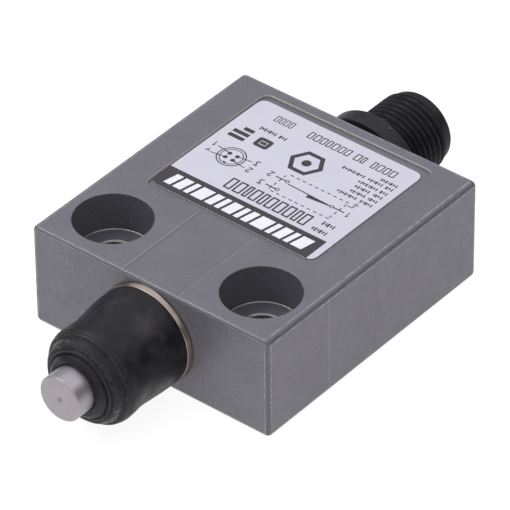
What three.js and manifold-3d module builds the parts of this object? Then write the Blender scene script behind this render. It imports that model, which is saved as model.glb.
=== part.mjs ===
// Compact limit switch: a die-cast block with a boot-sealed plunger at one end and a round
// four-pin connector at the other, and a snap-action basic switch inside.
// Millimetres. The block lies on its mounting face (z = 0). X runs across the two screw holes,
// +Y from the plunger to the connector, +Z out of the label. The origin is midway between the
// two screw holes, on the mounting face.

import * as THREE from 'three';
import { mergeVertices } from 'three/addons/utils/BufferGeometryUtils.js';
import Module from 'manifold-3d';

const wasm = await Module();
wasm.setup();

// ---------------------------------------------------------------- driving dimensions

const MERGE_DISTANCE = 1e-4;
const OVERSHOOT = 1;                 // how far a cutter runs past the face it opens
const STATIC_GAP = 0.1;              // between pieces that are fixed to each other
const RUNNING_GAP = 0.05;            // radial play of a sliding pin

const SMOOTH = 32;                   // sides of the large round surfaces
const MEDIUM = 24;
const COARSE = 12;
const WIRE_SIDES = 6;

// housing block
const WIDTH = 40.4;
const LENGTH = 44.7;
const HEIGHT = 16;
const HOLE_TO_FRONT = 7.9;
const FRONT = -HOLE_TO_FRONT;
const BACK = FRONT + LENGTH;
const EDGE = 0.5;                    // rounding of the long edges
const CORNER = 0.3;                  // extra rounding of the upright corners
const AXIS_HEIGHT = HEIGHT / 2;      // plunger and connector share this axis height

// screw holes
const HOLE_SPACING = 25.4;
const HOLE_RADIUS = 2.9;
const COUNTERBORE_RADIUS = 5.5;
const COUNTERBORE_DEPTH = 6;

// the mounting pad is the front part of the underside; the rest is a little higher
const PAD_END = 12.1;
const PAD_STEP = 0.13;

// label recess and label
const RECESS_WIDTH = 28.9;
const RECESS_START = 8.7;
const RECESS_END = 34.5;
const RECESS_DEPTH = 0.4;
const RECESS_CORNER = 1.3;
const LABEL_WIDTH = 28;
const LABEL_LENGTH = 24;
const LABEL_THICKNESS = 0.15;
const LABEL_CORNER = 1.4;
const LABEL_X = -0.36;
const LABEL_Y = 21.5;
const LABEL_TURN = THREE.MathUtils.degToRad(-0.3);
const ADHESIVE_THICKNESS = 0.05;

// cavity, opened from the mounting side behind the pad
const CAVITY_HALF_WIDTH = 16.4;
const CAVITY_START = 14.6;
const CAVITY_END = 33.4;
const CAVITY_ROOF = 14.1;
const CAVITY_CORNER = 1.5;
const SHELF_WIDTH = 1.8;             // ledge round the cavity that the gasket lies on
const SHELF_HEIGHT = 2.5;
const COVER_BOTTOM = 0.3;
const COVER_THICKNESS = 1.4;
const LINER_THICKNESS = 0.4;
const LINER_END = 30.9;

// plunger head
const FLANGE_RADIUS = 7.6;
const FLANGE_FRONT = FRONT - 1.3;
const SHANK_RADIUS = 5.8;
const SHANK_END = 2.5;
const NOSE_RADIUS = 5.2;
const NOSE_TIP = -14.4;
const BEAD_RADIUS = 4.7;
const BEAD_START = -11;
const BEAD_END = -9.8;
const CHAMBER_RADIUS = 5;

// boot outline, as [radius, y] points from the lip round the pin to the base
const BOOT_END = -23;
const BOOT_LIP = [[4.2, -23], [4.85, -22.6]];
const BOOT_RIBS = [[5, -22.05], [5.45, -22], [5.65, -21.5], [6.2, -21.25], [6.55, -20.7], [6.65, -20.35]];
const BOOT_BULGE = [[7, -20.15], [7.05, -19.8], [7.2, -19.2]];
const BOOT_WAIST = [[7.1, -17.9], [7.02, -16.4], [7.2, -14.4], [7.4, -12.4]];
const BOOT_BASE_RADIUS = 7.45;
const BOOT_INSIDE = [[5.35, -14], [5.3, -16.6], [5.6, -20], [4.6, -20.8]];
const BOOT_INSIDE_END = -21;

// plunger pin
const PIN_RADIUS = 3.4;
const PIN_TIP = -26;
const PIN_CHAMFER = 0.25;
const NECK_RADIUS = 2.8;
const NECK_START = -22.5;
const NECK_END = -21.7;
const SHOULDER_RADIUS = 4.7;
const SHOULDER_START = SHANK_END + STATIC_GAP;
const PIN_END = 4.2;
const PIN_BORE_RADIUS = 2;
const PIN_BORE_START = -6;
const PIN_LIP_RADIUS = 1.45;
const PIN_LIP_START = 3.5;
const SEAL_WIRE_RADIUS = 0.7;
const SEAL_Y = -4;

// actuator rod and springs
const ROD_RADIUS = 1.3;
const ROD_HEAD_RADIUS = 1.85;
const ROD_HEAD_START = 1.5;
const ROD_END = 14.5;
const GUIDE_FLANGE_START = 11.6;
const GUIDE_FLANGE_END = 12.4;
const GUIDE_FLANGE_RADIUS = 4.8;
const GUIDE_SHANK_RADIUS = 2.5;
const RETURN_COIL_RADIUS = 4.1;
const RETURN_WIRE_RADIUS = 0.3;
const RETURN_TURNS = 4;
const OVERTRAVEL_COIL_RADIUS = 1.45;
const OVERTRAVEL_WIRE_RADIUS = 0.25;
const OVERTRAVEL_TURNS = 5;

// basic switch
const CASE_LEFT = -9.5;
const CASE_RIGHT = 10.5;
const CASE_START = 15.2;
const CASE_END = 25.2;
const CASE_BOTTOM = 4.8;
const CASE_TOP = 11.2;
const CASE_WALL = 0.9;
const CASE_LID = 1;
const BUTTON_RADIUS = 1.2;
const BUTTON_START = 14.6;
const BUTTON_END = 18.7;
const BUTTON_COLLAR_RADIUS = 1.7;
const BUTTON_COLLAR_LENGTH = 0.8;
const STRIP_THICKNESS = 0.5;         // terminals
const STRIP_HALF_HEIGHT = 1.4;
const TERMINAL_END = 27.4;
const TERMINAL_EYE_RADIUS = 0.5;
const BLADE_Y = 19.2;
const BLADE_THICKNESS = 0.3;
const BLADE_PIVOT_X = -7.2;
const BLADE_START_X = -6.9;
const BLADE_END_X = 8.2;
const CONTACT_X = 7.2;
const CONTACT_RADIUS = 1;
const CONTACT_HEIGHT = 0.4;
const CLOSED_STRIP_Y = 16.75;
const OPEN_STRIP_Y = 21.75;
const OPEN_STRIP_X = 0.6;
const CLOSED_STRIP_X = 8.7;
const CONTACT_GAP = 0.9;
const CASE_SCREW_X = [-3.9, 5.1];
const CASE_SCREW_Y = 23.85;
const CASE_SCREW_RADIUS = 0.75;
const CASE_SCREW_HEAD_RADIUS = 1.4;
const CASE_SCREW_HEAD_HEIGHT = 0.9;
const CASE_SCREW_DEPTH = 2.2;        // how far the screw enters the boss
const BOSS_RADIUS = 1.45;

// ground connection
const GROUND_X = 13.2;
const GROUND_Y = 29;
const GROUND_BOSS_RADIUS = 2.2;
const GROUND_BOSS_BOTTOM = 9;
const GROUND_TAG_THICKNESS = 0.5;
const GROUND_SCREW_RADIUS = 1.1;
const GROUND_HEAD_RADIUS = 2;
const GROUND_HEAD_HEIGHT = 1.4;
const GROUND_SCREW_DEPTH = 3.5;
const TAG_TAIL = 4;

// connector
const CONNECTOR_HOLE_RADIUS = 4.5;
const SPIGOT_RADIUS = 4.4;
const SPIGOT_START = 31.6;
const HUB_RADIUS = 5;
const COLLAR_RADIUS = 7.9;
const COLLAR_START = BACK + 0.6;
const COLLAR_END = 40.2;
const THREAD_CREST = 5.95;
const THREAD_ROOT = 5.4;
const THREAD_PITCH = 1;
const THREAD_START = 40.7;
const THREAD_TURNS = 9;
const LEAD_IN_RADIUS = 5.2;
const CONNECTOR_END = 50.5;
const SOCKET_RADIUS = 4.4;
const SOCKET_FLOOR = 42.3;
const INSERT_RADIUS = 3.55;
const INSERT_START = 31.9;
const INSERT_FACE = 43.2;
const KEY_WIDTH = 1.1;
const KEY_HEIGHT = 0.7;
const KEY_END = 49.8;
const PIN_CIRCLE_OFFSET = 1.66;
const CONTACT_PIN_RADIUS = 0.5;
const CONTACT_PIN_END = 50;
const SOLDER_CUP_RADIUS = 0.75;
const SOLDER_CUP_START = 30.4;
const NUT_ACROSS_FLATS = 10.4;
const NUT_START = 31.25;
const NUT_END = 33.3;
const CONNECTOR_SEAL_RADIUS = 5.4;
const CONNECTOR_SEAL_WIRE = 0.29;

const LEAD_RADIUS = 0.5;
const LEAD_STEPS = 9;
const JOINT_GAP = 0.35;              // left for the solder at each end of a lead

// ---------------------------------------------------------------- solids

function solidFrom(geometry) {
  geometry.deleteAttribute('normal');
  geometry.deleteAttribute('uv');
  const merged = mergeVertices(geometry, MERGE_DISTANCE);
  const corners = merged.index.array;
  const triangles = [];
  for (let i = 0; i < corners.length; i += 3) {
    const [a, b, c] = [corners[i], corners[i + 1], corners[i + 2]];
    if (a !== b && b !== c && c !== a) {
      triangles.push(a, b, c);
    }
  }
  const mesh = new wasm.Mesh({
    numProp: 3,
    vertProperties: new Float32Array(merged.attributes.position.array),
    triVerts: new Uint32Array(triangles),
  });
  return new wasm.Manifold(mesh);
}

function geometryFrom(solid) {
  const mesh = solid.getMesh();
  const geometry = new THREE.BufferGeometry();
  geometry.setAttribute('position', new THREE.BufferAttribute(mesh.vertProperties, 3));
  geometry.setIndex(new THREE.BufferAttribute(mesh.triVerts, 1));
  return geometry;
}

function cut(solid, ...cutters) {
  return cutters.reduce((rest, cutter) => rest.subtract(cutter), solid);
}

function join(...solids) {
  return solids.reduce((whole, solid) => whole.add(solid));
}

// A block between two opposite corners.
function block([x0, y0, z0], [x1, y1, z1]) {
  const geometry = new THREE.BoxGeometry(x1 - x0, y1 - y0, z1 - z0);
  geometry.translate((x0 + x1) / 2, (y0 + y1) / 2, (z0 + z1) / 2);
  return solidFrom(geometry);
}

// An upright cylinder, along Z.
function post(x, y, radius, z0, z1, sides = COARSE) {
  const geometry = new THREE.CylinderGeometry(radius, radius, z1 - z0, sides);
  geometry.rotateX(Math.PI / 2);
  geometry.translate(x, y, (z0 + z1) / 2);
  return solidFrom(geometry);
}

// A body of revolution round the Y axis. The profile lists [radius, y], up its outer side
// and down its inner one.
function turned(profile, sides = SMOOTH) {
  const closed = profile[0][0] > 0 ? [...profile, profile[0]] : profile;
  const points = closed.map(([radius, y]) => new THREE.Vector2(radius, y));
  return solidFrom(new THREE.LatheGeometry(points, sides));
}

function rod(radius, y0, y1, sides = SMOOTH) {
  return turned([[0, y0], [radius, y0], [radius, y1], [0, y1]], sides);
}

function tube(inner, outer, y0, y1, sides = SMOOTH) {
  return turned([[inner, y0], [outer, y0], [outer, y1], [inner, y1]], sides);
}

function torus(ringRadius, wireRadius, y, sides = SMOOTH) {
  const profile = [];
  for (let i = 0; i < WIRE_SIDES; i += 1) {
    const angle = (2 * Math.PI * i) / WIRE_SIDES;
    profile.push([ringRadius + wireRadius * Math.cos(angle), y + wireRadius * Math.sin(angle)]);
  }
  return turned(profile, sides);
}

function roundedRectangle(x0, y0, x1, y1, radius) {
  const shape = new THREE.Shape();
  shape.moveTo(x0 + radius, y0);
  shape.lineTo(x1 - radius, y0);
  shape.absarc(x1 - radius, y0 + radius, radius, -Math.PI / 2, 0);
  shape.lineTo(x1, y1 - radius);
  shape.absarc(x1 - radius, y1 - radius, radius, 0, Math.PI / 2);
  shape.lineTo(x0 + radius, y1);
  shape.absarc(x0 + radius, y1 - radius, radius, Math.PI / 2, Math.PI);
  shape.lineTo(x0, y0 + radius);
  shape.absarc(x0 + radius, y0 + radius, radius, Math.PI, 1.5 * Math.PI);
  return shape;
}

function slab(shape, z0, z1, curveSegments = 4) {
  const geometry = new THREE.ExtrudeGeometry(shape, { depth: z1 - z0, bevelEnabled: false, curveSegments });
  geometry.translate(0, 0, z0);
  return solidFrom(geometry);
}

function wireShape(radius) {
  const shape = new THREE.Shape();
  for (let i = 0; i < WIRE_SIDES; i += 1) {
    const angle = (2 * Math.PI * i) / WIRE_SIDES;
    shape[i === 0 ? 'moveTo' : 'lineTo'](radius * Math.cos(angle), radius * Math.sin(angle));
  }
  return shape;
}

function wireAlong(curve, radius, steps) {
  const settings = { extrudePath: curve, steps, bevelEnabled: false };
  return solidFrom(new THREE.ExtrudeGeometry(wireShape(radius), settings));
}

// A helix round the Y axis.
class Helix extends THREE.Curve {
  constructor(radius, y0, y1, turns) {
    super();
    Object.assign(this, { radius, y0, y1, turns });
  }

  getPoint(t, target = new THREE.Vector3()) {
    const angle = 2 * Math.PI * this.turns * t;
    const y = THREE.MathUtils.lerp(this.y0, this.y1, t);
    return target.set(this.radius * Math.cos(angle), y, this.radius * Math.sin(angle));
  }
}

function coilSpring(coilRadius, wireRadius, y0, y1, turns) {
  const stepsPerTurn = 12;
  const helix = new Helix(coilRadius, y0 + wireRadius, y1 - wireRadius, turns);
  return wireAlong(helix, wireRadius, turns * stepsPerTurn);
}

// ---------------------------------------------------------------- housing

function outerBlock() {
  const halfWidth = WIDTH / 2 - EDGE;
  const outline = roundedRectangle(-halfWidth, FRONT + EDGE, halfWidth, BACK - EDGE, CORNER);
  const geometry = new THREE.ExtrudeGeometry(outline, {
    depth: HEIGHT - 2 * EDGE,
    bevelThickness: EDGE,
    bevelSize: EDGE,
    bevelSegments: 2,
    curveSegments: 3,
  });
  geometry.translate(0, 0, EDGE);
  return solidFrom(geometry);
}

function screwHole(x) {
  const through = post(x, 0, HOLE_RADIUS, -OVERSHOOT, HEIGHT, MEDIUM);
  const seat = HEIGHT - COUNTERBORE_DEPTH;
  return join(through, post(x, 0, COUNTERBORE_RADIUS, seat, HEIGHT + OVERSHOOT, SMOOTH));
}

function plungerBore() {
  const bore = join(
    rod(SHANK_RADIUS + STATIC_GAP, FRONT - OVERSHOOT, SHOULDER_START),
    rod(CHAMBER_RADIUS, FRONT, GUIDE_FLANGE_END),
    rod(GUIDE_SHANK_RADIUS + STATIC_GAP, FRONT, CAVITY_START + OVERSHOOT, MEDIUM),
  );
  return bore.translate([0, 0, AXIS_HEIGHT]);
}

function cavityOutline(margin) {
  return roundedRectangle(
    -CAVITY_HALF_WIDTH - margin,
    CAVITY_START - margin,
    CAVITY_HALF_WIDTH + margin,
    CAVITY_END + margin,
    CAVITY_CORNER,
  );
}

function housing() {
  const halfSpacing = HOLE_SPACING / 2;
  const halfRecess = RECESS_WIDTH / 2;
  const recess = roundedRectangle(-halfRecess, RECESS_START, halfRecess, RECESS_END, RECESS_CORNER);
  const cavity = slab(cavityOutline(0), -OVERSHOOT, CAVITY_ROOF);
  const groundBoss = post(
    GROUND_X, GROUND_Y, GROUND_BOSS_RADIUS, GROUND_BOSS_BOTTOM, CAVITY_ROOF + OVERSHOOT,
  );
  const bosses = CASE_SCREW_X.map((x) => (
    post(x, CASE_SCREW_Y, BOSS_RADIUS, CASE_TOP, CAVITY_ROOF + OVERSHOOT)
  ));
  const roomInside = cut(cavity, groundBoss, ...bosses);
  const caseHoleEnd = CASE_TOP + CASE_SCREW_DEPTH + STATIC_GAP;
  const caseScrewHoles = CASE_SCREW_X.map((x) => (
    post(x, CASE_SCREW_Y, CASE_SCREW_RADIUS + RUNNING_GAP, CASE_BOTTOM, caseHoleEnd)
  ));
  const groundHole = post(
    GROUND_X, GROUND_Y, GROUND_SCREW_RADIUS + RUNNING_GAP,
    CASE_BOTTOM, GROUND_BOSS_BOTTOM + GROUND_SCREW_DEPTH + STATIC_GAP,
  );
  const connectorHole = rod(CONNECTOR_HOLE_RADIUS, CAVITY_END - OVERSHOOT, BACK + OVERSHOOT);
  return cut(
    outerBlock(),
    screwHole(-halfSpacing),
    screwHole(halfSpacing),
    plungerBore(),
    slab(recess, HEIGHT - RECESS_DEPTH, HEIGHT + OVERSHOOT),
    slab(cavityOutline(SHELF_WIDTH), -OVERSHOOT, SHELF_HEIGHT),
    roomInside,
    ...caseScrewHoles,
    groundHole,
    connectorHole.translate([0, 0, AXIS_HEIGHT]),
    block([-WIDTH, PAD_END, -OVERSHOOT], [WIDTH, BACK + OVERSHOOT, PAD_STEP]),
  );
}

function rearCover() {
  return slab(cavityOutline(SHELF_WIDTH - STATIC_GAP), COVER_BOTTOM, COVER_BOTTOM + COVER_THICKNESS);
}

function coverGasket() {
  const bottom = COVER_BOTTOM + COVER_THICKNESS;
  const opening = slab(cavityOutline(0), bottom - OVERSHOOT, SHELF_HEIGHT + OVERSHOOT);
  return cut(slab(cavityOutline(SHELF_WIDTH - STATIC_GAP), bottom, SHELF_HEIGHT), opening);
}

function insulatingLiner() {
  const bottom = COVER_BOTTOM + COVER_THICKNESS;
  const halfWidth = CAVITY_HALF_WIDTH - STATIC_GAP;
  const start = CAVITY_START + STATIC_GAP;
  const outline = roundedRectangle(-halfWidth, start, halfWidth, LINER_END, CAVITY_CORNER);
  return slab(outline, bottom, bottom + LINER_THICKNESS);
}

function label() {
  const halfWidth = LABEL_WIDTH / 2;
  const halfLength = LABEL_LENGTH / 2;
  const outline = roundedRectangle(-halfWidth, -halfLength, halfWidth, halfLength, LABEL_CORNER);
  return slab(outline, 0, LABEL_THICKNESS);
}

// ---------------------------------------------------------------- plunger head

function headBushing() {
  const bore = PIN_RADIUS + RUNNING_GAP;
  const noseChamfer = 0.4;
  const grooveRadius = PIN_RADIUS + 2 * SEAL_WIRE_RADIUS + STATIC_GAP;
  const grooveHalf = SEAL_WIRE_RADIUS + STATIC_GAP;
  return turned([
    [bore, NOSE_TIP],
    [NOSE_RADIUS - noseChamfer, NOSE_TIP],
    [NOSE_RADIUS, NOSE_TIP + noseChamfer],
    [NOSE_RADIUS, BEAD_START],
    [BEAD_RADIUS, BEAD_START],
    [BEAD_RADIUS, BEAD_END],
    [NOSE_RADIUS, BEAD_END],
    [NOSE_RADIUS, FLANGE_FRONT],
    [FLANGE_RADIUS, FLANGE_FRONT],
    [FLANGE_RADIUS, FRONT],
    [SHANK_RADIUS, FRONT],
    [SHANK_RADIUS, SHANK_END],
    [bore, SHANK_END],
    [bore, SEAL_Y + grooveHalf],
    [grooveRadius, SEAL_Y + grooveHalf],
    [grooveRadius, SEAL_Y - grooveHalf],
    [bore, SEAL_Y - grooveHalf],
  ]);
}

// The boot's outside is a base, a waist, a bulge, two ribs and a lip round the pin. A ring inside
// the lip grips the pin's groove, and a bead inside the base snaps into the bushing's groove.
function boot() {
  const inside = NOSE_RADIUS + STATIC_GAP;
  const bead = BEAD_RADIUS + STATIC_GAP;
  const grip = NECK_RADIUS + STATIC_GAP;
  const pinRoom = PIN_RADIUS + STATIC_GAP;
  return turned([
    [pinRoom, BOOT_END],
    ...BOOT_LIP,
    ...BOOT_RIBS,
    ...BOOT_BULGE,
    ...BOOT_WAIST,
    [BOOT_BASE_RADIUS, FLANGE_FRONT - STATIC_GAP],
    [inside, FLANGE_FRONT - STATIC_GAP],
    [inside, BEAD_END - STATIC_GAP],
    [bead, BEAD_END - STATIC_GAP],
    [bead, BEAD_START + STATIC_GAP],
    [inside, BEAD_START + STATIC_GAP],
    ...BOOT_INSIDE,
    [pinRoom, BOOT_INSIDE_END],
    [pinRoom, NECK_END - STATIC_GAP],
    [grip, NECK_END - STATIC_GAP],
    [grip, NECK_START + STATIC_GAP],
    [pinRoom, NECK_START + STATIC_GAP],
  ]);
}

function plungerPin() {
  return turned([
    [0, PIN_TIP],
    [PIN_RADIUS - PIN_CHAMFER, PIN_TIP],
    [PIN_RADIUS, PIN_TIP + PIN_CHAMFER],
    [PIN_RADIUS, NECK_START],
    [NECK_RADIUS, NECK_START],
    [NECK_RADIUS, NECK_END],
    [PIN_RADIUS, NECK_END],
    [PIN_RADIUS, SHOULDER_START],
    [SHOULDER_RADIUS, SHOULDER_START],
    [SHOULDER_RADIUS, PIN_END],
    [PIN_LIP_RADIUS, PIN_END],
    [PIN_LIP_RADIUS, PIN_LIP_START],
    [PIN_BORE_RADIUS, PIN_LIP_START],
    [PIN_BORE_RADIUS, PIN_BORE_START],
    [0, PIN_BORE_START],
  ]);
}

function plungerSeal() {
  const innerPlay = 0.04;
  return torus(PIN_RADIUS + innerPlay + SEAL_WIRE_RADIUS, SEAL_WIRE_RADIUS, SEAL_Y);
}

function returnSpring() {
  const start = PIN_END + STATIC_GAP;
  const end = GUIDE_FLANGE_START - STATIC_GAP;
  return coilSpring(RETURN_COIL_RADIUS, RETURN_WIRE_RADIUS, start, end, RETURN_TURNS);
}

function overtravelSpring() {
  const start = PIN_BORE_START + STATIC_GAP;
  const end = ROD_HEAD_START - STATIC_GAP;
  return coilSpring(OVERTRAVEL_COIL_RADIUS, OVERTRAVEL_WIRE_RADIUS, start, end, OVERTRAVEL_TURNS);
}

function actuatorRod() {
  const headEnd = PIN_LIP_START - STATIC_GAP;
  return turned([
    [0, ROD_HEAD_START],
    [ROD_HEAD_RADIUS, ROD_HEAD_START],
    [ROD_HEAD_RADIUS, headEnd],
    [ROD_RADIUS, headEnd],
    [ROD_RADIUS, ROD_END],
    [0, ROD_END],
  ], MEDIUM);
}

function rodGuide() {
  return turned([
    [ROD_RADIUS + RUNNING_GAP, GUIDE_FLANGE_START],
    [GUIDE_FLANGE_RADIUS, GUIDE_FLANGE_START],
    [GUIDE_FLANGE_RADIUS, GUIDE_FLANGE_END],
    [GUIDE_SHANK_RADIUS, GUIDE_FLANGE_END],
    [GUIDE_SHANK_RADIUS, CAVITY_START - STATIC_GAP],
    [ROD_RADIUS + RUNNING_GAP, CAVITY_START - STATIC_GAP],
  ], MEDIUM);
}

// ---------------------------------------------------------------- basic switch

// Each terminal is a flat strip that leaves the case through a slot in its rear wall.
const TERMINAL_X = {
  common: BLADE_PIVOT_X - 2 * STRIP_THICKNESS + STATIC_GAP,
  open: OPEN_STRIP_X,
  closed: CLOSED_STRIP_X,
};

function strip(x0, y0, x1, y1, margin = 0) {
  return block(
    [x0 - margin, y0 - margin, AXIS_HEIGHT - STRIP_HALF_HEIGHT - margin],
    [x1 + margin, y1 + margin, AXIS_HEIGHT + STRIP_HALF_HEIGHT + margin],
  );
}

function terminalTail(x, start) {
  const eye = post(0, 0, TERMINAL_EYE_RADIUS, -OVERSHOOT, OVERSHOOT, COARSE).rotate([0, 90, 0]);
  const eyeY = TERMINAL_END - 2 * TERMINAL_EYE_RADIUS;
  const flat = strip(x, start, x + STRIP_THICKNESS, TERMINAL_END);
  return cut(flat, eye.translate([x + STRIP_THICKNESS / 2, eyeY, AXIS_HEIGHT]));
}

function switchCase() {
  const inner = CASE_WALL;
  const floor = CASE_BOTTOM + CASE_LID;
  const shell = block([CASE_LEFT, CASE_START, CASE_BOTTOM], [CASE_RIGHT, CASE_END, CASE_TOP - CASE_LID]);
  const room = block(
    [CASE_LEFT + inner, CASE_START + inner, floor],
    [CASE_RIGHT - inner, CASE_END - inner, CASE_TOP],
  );
  const posts = CASE_SCREW_X.map((x) => (
    post(x, CASE_SCREW_Y, BOSS_RADIUS - STATIC_GAP, floor - STATIC_GAP, CASE_TOP - CASE_LID)
  ));
  const slots = Object.values(TERMINAL_X).map((x) => (
    strip(x, CASE_END - inner, x + STRIP_THICKNESS, CASE_END + OVERSHOOT, STATIC_GAP)
  ));
  const screwHoles = CASE_SCREW_X.map((x) => (
    post(x, CASE_SCREW_Y, CASE_SCREW_RADIUS + RUNNING_GAP, 0, HEIGHT)
  ));
  const holeRadius = BUTTON_RADIUS + RUNNING_GAP;
  const buttonHole = rod(holeRadius, CASE_START - OVERSHOOT, CASE_START + OVERSHOOT, MEDIUM);
  const tray = join(cut(shell, room), ...posts);
  return cut(tray, ...slots, ...screwHoles, buttonHole.translate([0, 0, AXIS_HEIGHT]));
}

function switchCover() {
  const plate = block([CASE_LEFT, CASE_START, CASE_TOP - CASE_LID], [CASE_RIGHT, CASE_END, CASE_TOP]);
  const screwHoles = CASE_SCREW_X.map((x) => (
    post(x, CASE_SCREW_Y, CASE_SCREW_RADIUS + RUNNING_GAP, 0, HEIGHT)
  ));
  return cut(plate, ...screwHoles);
}

function switchButton() {
  const collarStart = CASE_START + CASE_WALL + STATIC_GAP;
  const collarEnd = collarStart + BUTTON_COLLAR_LENGTH;
  return turned([
    [0, BUTTON_START],
    [BUTTON_RADIUS, BUTTON_START],
    [BUTTON_RADIUS, collarStart],
    [BUTTON_COLLAR_RADIUS, collarStart],
    [BUTTON_COLLAR_RADIUS, collarEnd],
    [BUTTON_RADIUS, collarEnd],
    [BUTTON_RADIUS, BUTTON_END],
    [0, BUTTON_END],
  ], MEDIUM);
}

function switchScrew(x) {
  const headBottom = CASE_BOTTOM - CASE_SCREW_HEAD_HEIGHT;
  const slotHalf = 0.2;
  const head = post(x, CASE_SCREW_Y, CASE_SCREW_HEAD_RADIUS, headBottom, CASE_BOTTOM);
  const shank = post(x, CASE_SCREW_Y, CASE_SCREW_RADIUS, headBottom, CASE_TOP + CASE_SCREW_DEPTH);
  const slot = block(
    [x - CASE_SCREW_HEAD_RADIUS, CASE_SCREW_Y - slotHalf, headBottom - OVERSHOOT],
    [x + CASE_SCREW_HEAD_RADIUS, CASE_SCREW_Y + slotHalf, headBottom + 2 * slotHalf],
  );
  return cut(join(head, shank), slot);
}

function commonTerminal() {
  const x = TERMINAL_X.common;
  const knifeHalf = 0.25;
  const knifeEnd = BLADE_START_X - 2 * STATIC_GAP;
  const tail = terminalTail(x, BLADE_Y - 2 * STRIP_THICKNESS);
  return join(tail, strip(x, BLADE_Y - knifeHalf, knifeEnd, BLADE_Y + knifeHalf));
}

function openTerminal() {
  const arm = strip(OPEN_STRIP_X, OPEN_STRIP_Y, CONTACT_X + CONTACT_RADIUS, OPEN_STRIP_Y + STRIP_THICKNESS);
  return join(arm, terminalTail(OPEN_STRIP_X, OPEN_STRIP_Y));
}

function closedTerminal() {
  const end = CLOSED_STRIP_X + STRIP_THICKNESS;
  const arm = strip(CONTACT_X - CONTACT_RADIUS, CLOSED_STRIP_Y, end, CLOSED_STRIP_Y + STRIP_THICKNESS);
  return join(arm, terminalTail(CLOSED_STRIP_X, CLOSED_STRIP_Y));
}

// Two slits leave a tongue in the middle of the blade, which makes it snap over centre.
function contactBlade() {
  const half = BLADE_THICKNESS / 2;
  const slitHalf = 0.15;
  const slitOffset = 0.6;
  const slitStart = BLADE_START_X + 1;
  const slitEnd = CONTACT_X - 3 * CONTACT_RADIUS;
  const sheet = strip(BLADE_START_X, BLADE_Y - half, BLADE_END_X, BLADE_Y + half);
  const slits = [-slitOffset, slitOffset].map((offset) => block(
    [slitStart, BLADE_Y - OVERSHOOT, AXIS_HEIGHT + offset - slitHalf],
    [slitEnd, BLADE_Y + OVERSHOOT, AXIS_HEIGHT + offset + slitHalf],
  ));
  const rivetHole = rod(CONTACT_RADIUS / 2, BLADE_Y - OVERSHOOT, BLADE_Y + OVERSHOOT, COARSE);
  return cut(sheet, ...slits, rivetHole.translate([CONTACT_X, 0, AXIS_HEIGHT]));
}

function movingContact() {
  const shank = CONTACT_RADIUS / 2 - RUNNING_GAP;
  const inner = BLADE_THICKNESS / 2 + RUNNING_GAP;
  const outer = inner + CONTACT_HEIGHT;
  return turned([
    [0, BLADE_Y - outer],
    [CONTACT_RADIUS, BLADE_Y - outer],
    [CONTACT_RADIUS, BLADE_Y - inner],
    [shank, BLADE_Y - inner],
    [shank, BLADE_Y + inner],
    [CONTACT_RADIUS, BLADE_Y + inner],
    [CONTACT_RADIUS, BLADE_Y + outer],
    [0, BLADE_Y + outer],
  ], COARSE).translate([CONTACT_X, 0, 0]);
}

function closedContact() {
  const face = BLADE_Y - BLADE_THICKNESS / 2 - RUNNING_GAP - CONTACT_HEIGHT - STATIC_GAP;
  const disc = rod(CONTACT_RADIUS, CLOSED_STRIP_Y + STRIP_THICKNESS, face, COARSE);
  return disc.translate([CONTACT_X, 0, 0]);
}

function openContact() {
  const face = BLADE_Y + BLADE_THICKNESS / 2 + RUNNING_GAP + CONTACT_HEIGHT + CONTACT_GAP;
  return rod(CONTACT_RADIUS, face, OPEN_STRIP_Y, COARSE).translate([CONTACT_X, 0, 0]);
}

// ---------------------------------------------------------------- wiring and ground

function groundTag() {
  const bottom = GROUND_BOSS_BOTTOM - GROUND_TAG_THICKNESS;
  const tailHalf = 0.9;
  const ring = post(GROUND_X, GROUND_Y, GROUND_HEAD_RADIUS, bottom, GROUND_BOSS_BOTTOM);
  const tail = block(
    [GROUND_X - TAG_TAIL, GROUND_Y - tailHalf, bottom],
    [GROUND_X, GROUND_Y + tailHalf, GROUND_BOSS_BOTTOM],
  );
  const hole = post(GROUND_X, GROUND_Y, GROUND_SCREW_RADIUS + STATIC_GAP, 0, HEIGHT);
  return cut(join(ring, tail), hole);
}

function groundScrew() {
  const headTop = GROUND_BOSS_BOTTOM - GROUND_TAG_THICKNESS;
  const headBottom = headTop - GROUND_HEAD_HEIGHT;
  const slotHalf = 0.25;
  const head = post(GROUND_X, GROUND_Y, GROUND_HEAD_RADIUS, headBottom, headTop);
  const tip = GROUND_BOSS_BOTTOM + GROUND_SCREW_DEPTH;
  const shank = post(GROUND_X, GROUND_Y, GROUND_SCREW_RADIUS, headBottom, tip);
  const slot = block(
    [GROUND_X - GROUND_HEAD_RADIUS, GROUND_Y - slotHalf, headBottom - OVERSHOOT],
    [GROUND_X + GROUND_HEAD_RADIUS, GROUND_Y + slotHalf, headBottom + 2 * slotHalf],
  );
  return cut(join(head, shank), slot);
}

const CUP = SOLDER_CUP_START - JOINT_GAP;
const HIGH = AXIS_HEIGHT + PIN_CIRCLE_OFFSET;
const LOW = AXIS_HEIGHT - PIN_CIRCLE_OFFSET;
const WIRE_START = TERMINAL_END + JOINT_GAP;

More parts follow.
